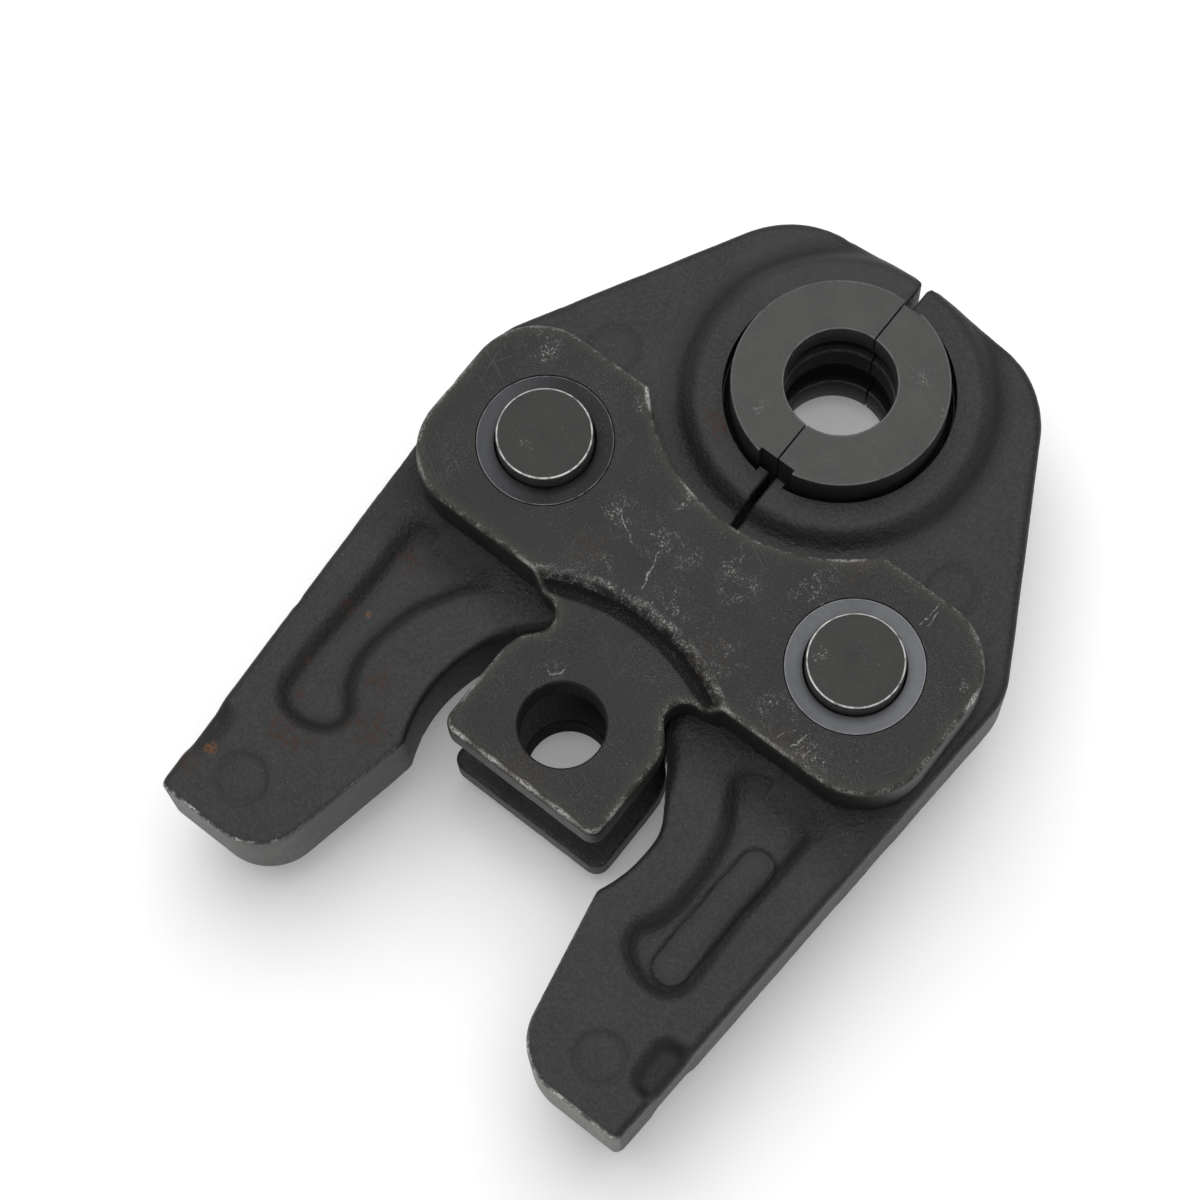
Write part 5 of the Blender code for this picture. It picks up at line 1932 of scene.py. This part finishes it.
@dataclass
class PivotPin:
    """One pivot pin with a turned, slightly bruised head at each end."""

    side: Side
    radius: float = 8.0
    end: float = 21.0
    chamfer: float = 0.28

    def build(self) -> Piece:
        """Turns the pin, with a faint centre mark and softly rolled chamfers.

        Returns:
            The pin.
        """
        c, wide, end = self.chamfer, self.radius, self.end
        half = [(0.35, end - 0.12), (0.6, end - 0.03), (2.5, end), (5.0, end), (wide - c - 0.15, end),
                (wide - c, end - 0.03), (wide - 0.06, end - c + 0.06), (wide, end - c - 0.1),
                (wide, end - 2.0), (wide, 10.0)]
        rows = half + [(wide, 0.0)] + [(r, -z) for r, z in reversed(half)]
        made = lathe(self.side.word + "_turned_pin", rows, self.side.pivot, 128)
        # Marks the outer wall, which the finish paints paler as painted light.
        mark(made, "wall", (np.abs(coordinates(made)[:, 2]) < self.end - self.chamfer - 0.05).astype(float))
        return shade(made, 50.0)

    def finish(self) -> TurnedSteel:
        """Dark ground steel with a bright rim, partly wear and partly painted highlight, and a wall painted
        paler as painted light.

        Returns:
            The finish.
        """
        x, y = self.side.pivot
        spots = ((x - 1.2, y - 3.5, 1.5),)
        if self.side is Side.RIGHT:
            spots = ((x - 5.0, y - 2.7, 1.8), (x - 1.8, y - 2.9, 1.2))
        return TurnedSteel(base=(0.0105, 0.0107, 0.0094), pale=(0.0165, 0.0168, 0.0150), centre=(x, y),
                           roughness=0.36, metallic=0.0, marks=0.5, mark_depth=0.002,
                           rim=(self.radius - self.chamfer + 0.02,), rim_width=0.17, rim_shine=0.8,
                           scratch=0.018, scuffs=spots, gloss=0.18, wall=0.10)

    def dress(self, made: Piece) -> None:
        """Gives the pin its finish and its place in the mechanism.

        Args:
            made: The pin.
        """
        dressed(made, self.finish().make(self.side.word + "_pin_steel"))
        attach(made, "root")
        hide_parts(self.side.word + "_pivot_pin")


@dataclass
class RetainingRing:
    """One closed ring, stamped and blued, flush in its plate."""

    side: Side
    face: Face
    outer: float = 11.24
    inner: float = 8.3
    thickness: float = 2.0
    roll: float = 0.16

    def build(self, tree: NodeTree, material: Finish) -> Piece:
        """Sweeps the ring's rolled section round its pin.

        Args:
            tree: The tree that sweeps a section.
            material: Its finish.

        Returns:
            The ring.
        """
        high, low, r = PLATE_FACE, PLATE_FACE - self.thickness, self.roll
        section = arc((self.outer - r, high - r), r, math.pi / 2, 0.0, 5)
        section += [(self.outer, low), (self.inner, low)]
        section += arc((self.inner + 0.15, high - 0.15), 0.15, math.pi, math.pi / 2, 3)
        section = [(x, z * self.face.value) for x, z in section]
        made = swept(tree, f"{self.side.word}_{self.face.word}_blued_ring", section, self.side.pivot,
                     Start=0.0, Sweep=2 * math.pi, Steps=128, Closed=True, Finish=material)
        return shade(made, 40.0)

    def finish(self) -> TurnedSteel:
        """Blue-grey spring steel with a bright outer rim, partly wear and partly painted highlight, and a
        painted reflection lighter towards one side.

        Returns:
            The finish.
        """
        base, pale, light = (0.058, 0.060, 0.065), (0.084, 0.087, 0.094), (0.105, 0.108, 0.116)
        # Painted reflection: each ring is painted lighter towards the side given by lit.
        gloss, lit = 0.25, 20.0
        if self.side is Side.LEFT:
            base, pale, light = (0.0085, 0.0087, 0.0095), (0.0160, 0.0164, 0.0176), (0.066, 0.068, 0.074)
            gloss, lit = 0.10, 205.0
        return TurnedSteel(base=base, pale=pale, centre=self.side.pivot, roughness=0.40, metallic=0.1,
                           marks=0.8, mark_depth=0.001, rim=(self.outer - 0.1,), rim_width=0.12,
                           rim_shine=0.25, scratch=0.02, gloss=gloss, lit=lit, light=light,
                           bare=(0.42, 0.43, 0.46))

    def dress(self, made: Piece) -> None:
        """Gives the ring its place in the mechanism."""
        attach(made, "root")
        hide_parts(f"{self.side.word}_{self.face.word}_retaining_ring")


@dataclass
class Springs:
    """The closing spring on its pin and the small detent springs behind the inserts."""

    wire: float = 1.8
    coil_radius: float = 4.2
    coil_height: float = 13.6
    turns: float = 6.0
    leg_angle: float = -32.0
    leg_reach: float = 8.4
    detent_wire: float = 0.6
    detent_radius: float = 1.7
    detent_length: float = 4.8
    detent_turns: float = 4.0
    detent_place: float = 23.7

    def closing(self, tree: NodeTree, material: Finish) -> Piece:
        """The coil, wound about the spring pin.

        Args:
            tree: The tree that winds a coil.
            material: Its finish.

        Returns:
            The coil.
        """
        made = make_object("closing_spring_coil", [], [])
        tree.apply(made, Radius=self.coil_radius * MM, Height=self.coil_height * MM, Turns=self.turns,
                   Wire=self.wire / 2 * MM, Finish=material)
        placed(made, Matrix.Translation((*SPRING_CENTRE, -self.coil_height / 2)))
        outward(made)
        made.data.shade_smooth()
        return made

    def leg(self, side: Side, material: Finish) -> Piece:
        """One straight leg from the coil to its arm.

        Args:
            side: Which arm it presses on.
            material: Its finish.

        Returns:
            The leg.
        """
        angle = math.radians(self.leg_angle)
        end = Vector((self.leg_reach * math.cos(angle), self.leg_reach * math.sin(angle)))
        turn = angle - math.acos(self.coil_radius / self.leg_reach)
        start = Vector((math.cos(turn), math.sin(turn))) * self.coil_radius
        level = -self.coil_height / 2 if side is Side.RIGHT else self.coil_height / 2
        along = (end - start).normalized()
        across = Vector((-along.y, along.x))
        thick, steps = self.wire / 2, 12
        rings = ((start - along * 0.4, thick - 0.4), (start, thick), (end, thick),
                 (end + along * 0.2, thick - 0.2))
        points = []
        for middle, radius in rings:
            for off, up in arc((0.0, 0.0), radius, 0.0, 2 * math.pi, steps)[:-1]:
                x, y = middle + across * off
                points.append((SPRING_CENTRE[0] + side.value * x, SPRING_CENTRE[1] + y, level + up))
        made = make_object(side.word + "_spring_leg", points, stack_faces(steps, len(rings)))
        outward(made)
        dressed(made, material)
        return shade(made, 50.0)

    def detent(self, side: Side, tree: NodeTree, material: Finish) -> Piece:
        """The coil behind one detent pin, on its side along X.

        Args:
            side: Which arm it sits in.
            tree: The tree that winds a coil.
            material: Its finish.

        Returns:
            The coil.
        """
        made = make_object(side.word + "_detent_coil", [], [])
        tree.apply(made, Radius=self.detent_radius * MM, Height=self.detent_length * MM,
                   Turns=self.detent_turns, Wire=self.detent_wire / 2 * MM, Finish=material)
        lie = Matrix.Rotation(math.radians(90.0) * side.value, 4, "Y")
        placed(made, Matrix.Translation((side.value * self.detent_place, DIE_CENTRE[1], 0.0)) @ lie)
        outward(made)
        made.data.shade_smooth()
        return made

    def dress(self, coil: Piece, legs: Iterable[Piece],
              detents: dict[Side, Piece]) -> None:
        """Gives each spring its place in the mechanism.

        Args:
            coil: The closing spring.
            legs: Its two legs.
            detents: The detent spring of each side.
        """
        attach(coil, "root")
        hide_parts("closing_spring")
        for leg in legs:
            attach(leg, "root")
        for side, made in detents.items():
            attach(made, side.body)
            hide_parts(side.word + "_lock_spring")


@dataclass
class SmallPins:
    """The CAD pins that stay as they are: the spring pin and the two detent pins."""

    detent_place: float = 20.6

    def finish(self, centre: Point) -> TurnedSteel:
        """Pale turned steel about a pin's axis."""
        return TurnedSteel(base=(0.07, 0.07, 0.066), pale=(0.11, 0.11, 0.10), centre=centre,
                           roughness=0.35, metallic=0.7, marks=0.4, mark_depth=0.003)

    def dress(self) -> None:
        """Gives each pin its finish."""
        dressed(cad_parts["spring_pin"], self.finish(SPRING_CENTRE).make("spring_pin_steel"))
        for side in Side:
            detent = self.finish((side.value * self.detent_place, DIE_CENTRE[1]))
            dressed(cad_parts[side.word + "_lock_pin"], detent.make(side.word + "_detent_steel"))


# The studio


@dataclass
class Studio:
    """Camera, pale floor and plain soft light."""

    camera_place: tuple[float, float, float] = (0.0976001, -0.1197882, 0.5152662)
    camera_right: tuple[float, float, float] = (0.7861728, 0.6174031, -0.0273074)
    camera_down: tuple[float, float, float] = (0.5813263, -0.7537852, -0.3063782)
    camera_ahead: tuple[float, float, float] = (-0.2097428, 0.2249917, -0.9515181)
    lens: float = 94.2146
    floor_colour: float = 0.93
    floor_lift: float = 0.16
    floor_half: float = 12.0
    floor_level: float = -0.0002
    world: float = 0.26
    softbox: float = 2.55
    softbox_size: float = 1.2
    softbox_height: float = 1.0

    def camera(self) -> None:
        """Puts the camera where the photograph was taken from."""
        data = bpy.data.cameras.new("camera")
        data.sensor_width = 36.0
        data.lens = self.lens
        data.clip_start = 0.01
        data.clip_end = 50.0
        made = linked("camera", data)
        right, down, ahead = map(Vector, (self.camera_right, self.camera_down, self.camera_ahead))
        turn = Matrix((right, -down, -ahead)).transposed().to_4x4()
        made.matrix_world = Matrix.Translation(self.camera_place) @ turn
        bpy.context.scene.camera = made

    def floor(self) -> None:
        """A wide white sheet that the jaw lies on."""
        half = self.floor_half
        mesh = bpy.data.meshes.new("floor")
        corners = [(x, y, self.floor_level) for x, y in rectangle((-half, -half), (half, half))]
        mesh.from_pydata(corners, [], [(0, 1, 2, 3)])
        made = linked("floor", mesh)
        paper = Sketch("floor_paper")
        fibre = paper.ramp(paper.grain(2.0, 2.0), 0.3, 0.7)
        pale = (self.floor_colour,) * 3
        paper.put(paper.shader.inputs["Base Color"], paper.blend(fibre, pale, tuple(c * 0.995 for c in pale)))
        away = paper.distance((-FRAME_SHIFT.x, -FRAME_SHIFT.y))
        lift = paper.ramp(away, 0.15, 1.8, self.floor_lift, 0.75)
        paper.shader.inputs["Emission Color"].default_value = (1.0, 1.0, 1.0, 1.0)
        paper.put(paper.shader.inputs["Emission Strength"], paper.product(paper.seen(), lift))
        paper.shader.inputs["Roughness"].default_value = 0.9
        paper.shader.inputs["Specular IOR Level"].default_value = 0.1
        dressed(made, paper.material)

    def light(self) -> None:
        """A grey-white room and one wide softbox overhead, leaning the way the top faces mirror it."""
        world = bpy.data.worlds.new("room")
        world.use_nodes = True
        room = Wiring(world.node_tree)
        background = room.tree.nodes["Background"]
        background.inputs["Color"].default_value = (1.0, 1.0, 1.0, 1.0)
        room.put(background.inputs["Strength"], room.ramp(room.seen(), 0.0, 1.0, self.world, 1.0))
        bpy.context.scene.world = world
        lean = Vector((-0.17, 0.19, 0.95)).normalized()
        data = bpy.data.lights.new("softbox", "AREA")
        data.shape = "RECTANGLE"
        data.size = self.softbox_size
        data.size_y = self.softbox_size
        data.energy = self.softbox * math.pi * data.size * data.size_y
        made = linked("softbox", data)
        made.location = lean * self.softbox_height
        made.rotation_euler = lean.to_track_quat("Z", "Y").to_euler()

    def build(self) -> None:
        """Sets the whole studio up."""
        view = bpy.context.scene.view_settings
        view.view_transform = "Standard"
        self.camera()
        self.floor()
        self.light()


def report(made: Piece) -> None:
    """Logs a finished piece and its size."""
    LOG.info("%s: %d faces", made.name, len(made.data.polygons))


def complete(piece: JawArm | SidePlate | DieInsert | PivotPin | RetainingRing, made: Piece) -> None:
    """Dresses a built piece and reports it."""
    piece.dress(made)
    report(made)


def main() -> None:
    """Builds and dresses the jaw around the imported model, and then the studio."""
    logging.basicConfig(level=logging.INFO, format="%(message)s")
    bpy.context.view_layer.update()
    sweep, coil = sweep_tree(), coil_tree()
    wire = OiledWire().make("spring_wire")
    for side in Side:
        arm, insert, pin = JawArm(side), DieInsert(side), PivotPin(side)
        complete(arm, arm.build())
        complete(insert, insert.build(sweep, insert.finish().make(side.word + "_insert_oxide")))
        complete(pin, pin.build())
        for face in Face:
            ring = RetainingRing(side, face)
            complete(ring, ring.build(sweep, ring.finish().make(f"{side.word}_{face.word}_ring_steel")))
    for face in Face:
        plate = SidePlate(face)
        complete(plate, plate.build())
    springs = Springs()
    closing = springs.closing(coil, wire)
    legs = [springs.leg(side, wire) for side in Side]
    detents = {side: springs.detent(side, coil, wire) for side in Side}
    springs.dress(closing, legs, detents)
    for made in (closing, *legs, *detents.values()):
        report(made)
    SmallPins().dress()
    Studio().build()


if __name__ == "__main__":
    main()
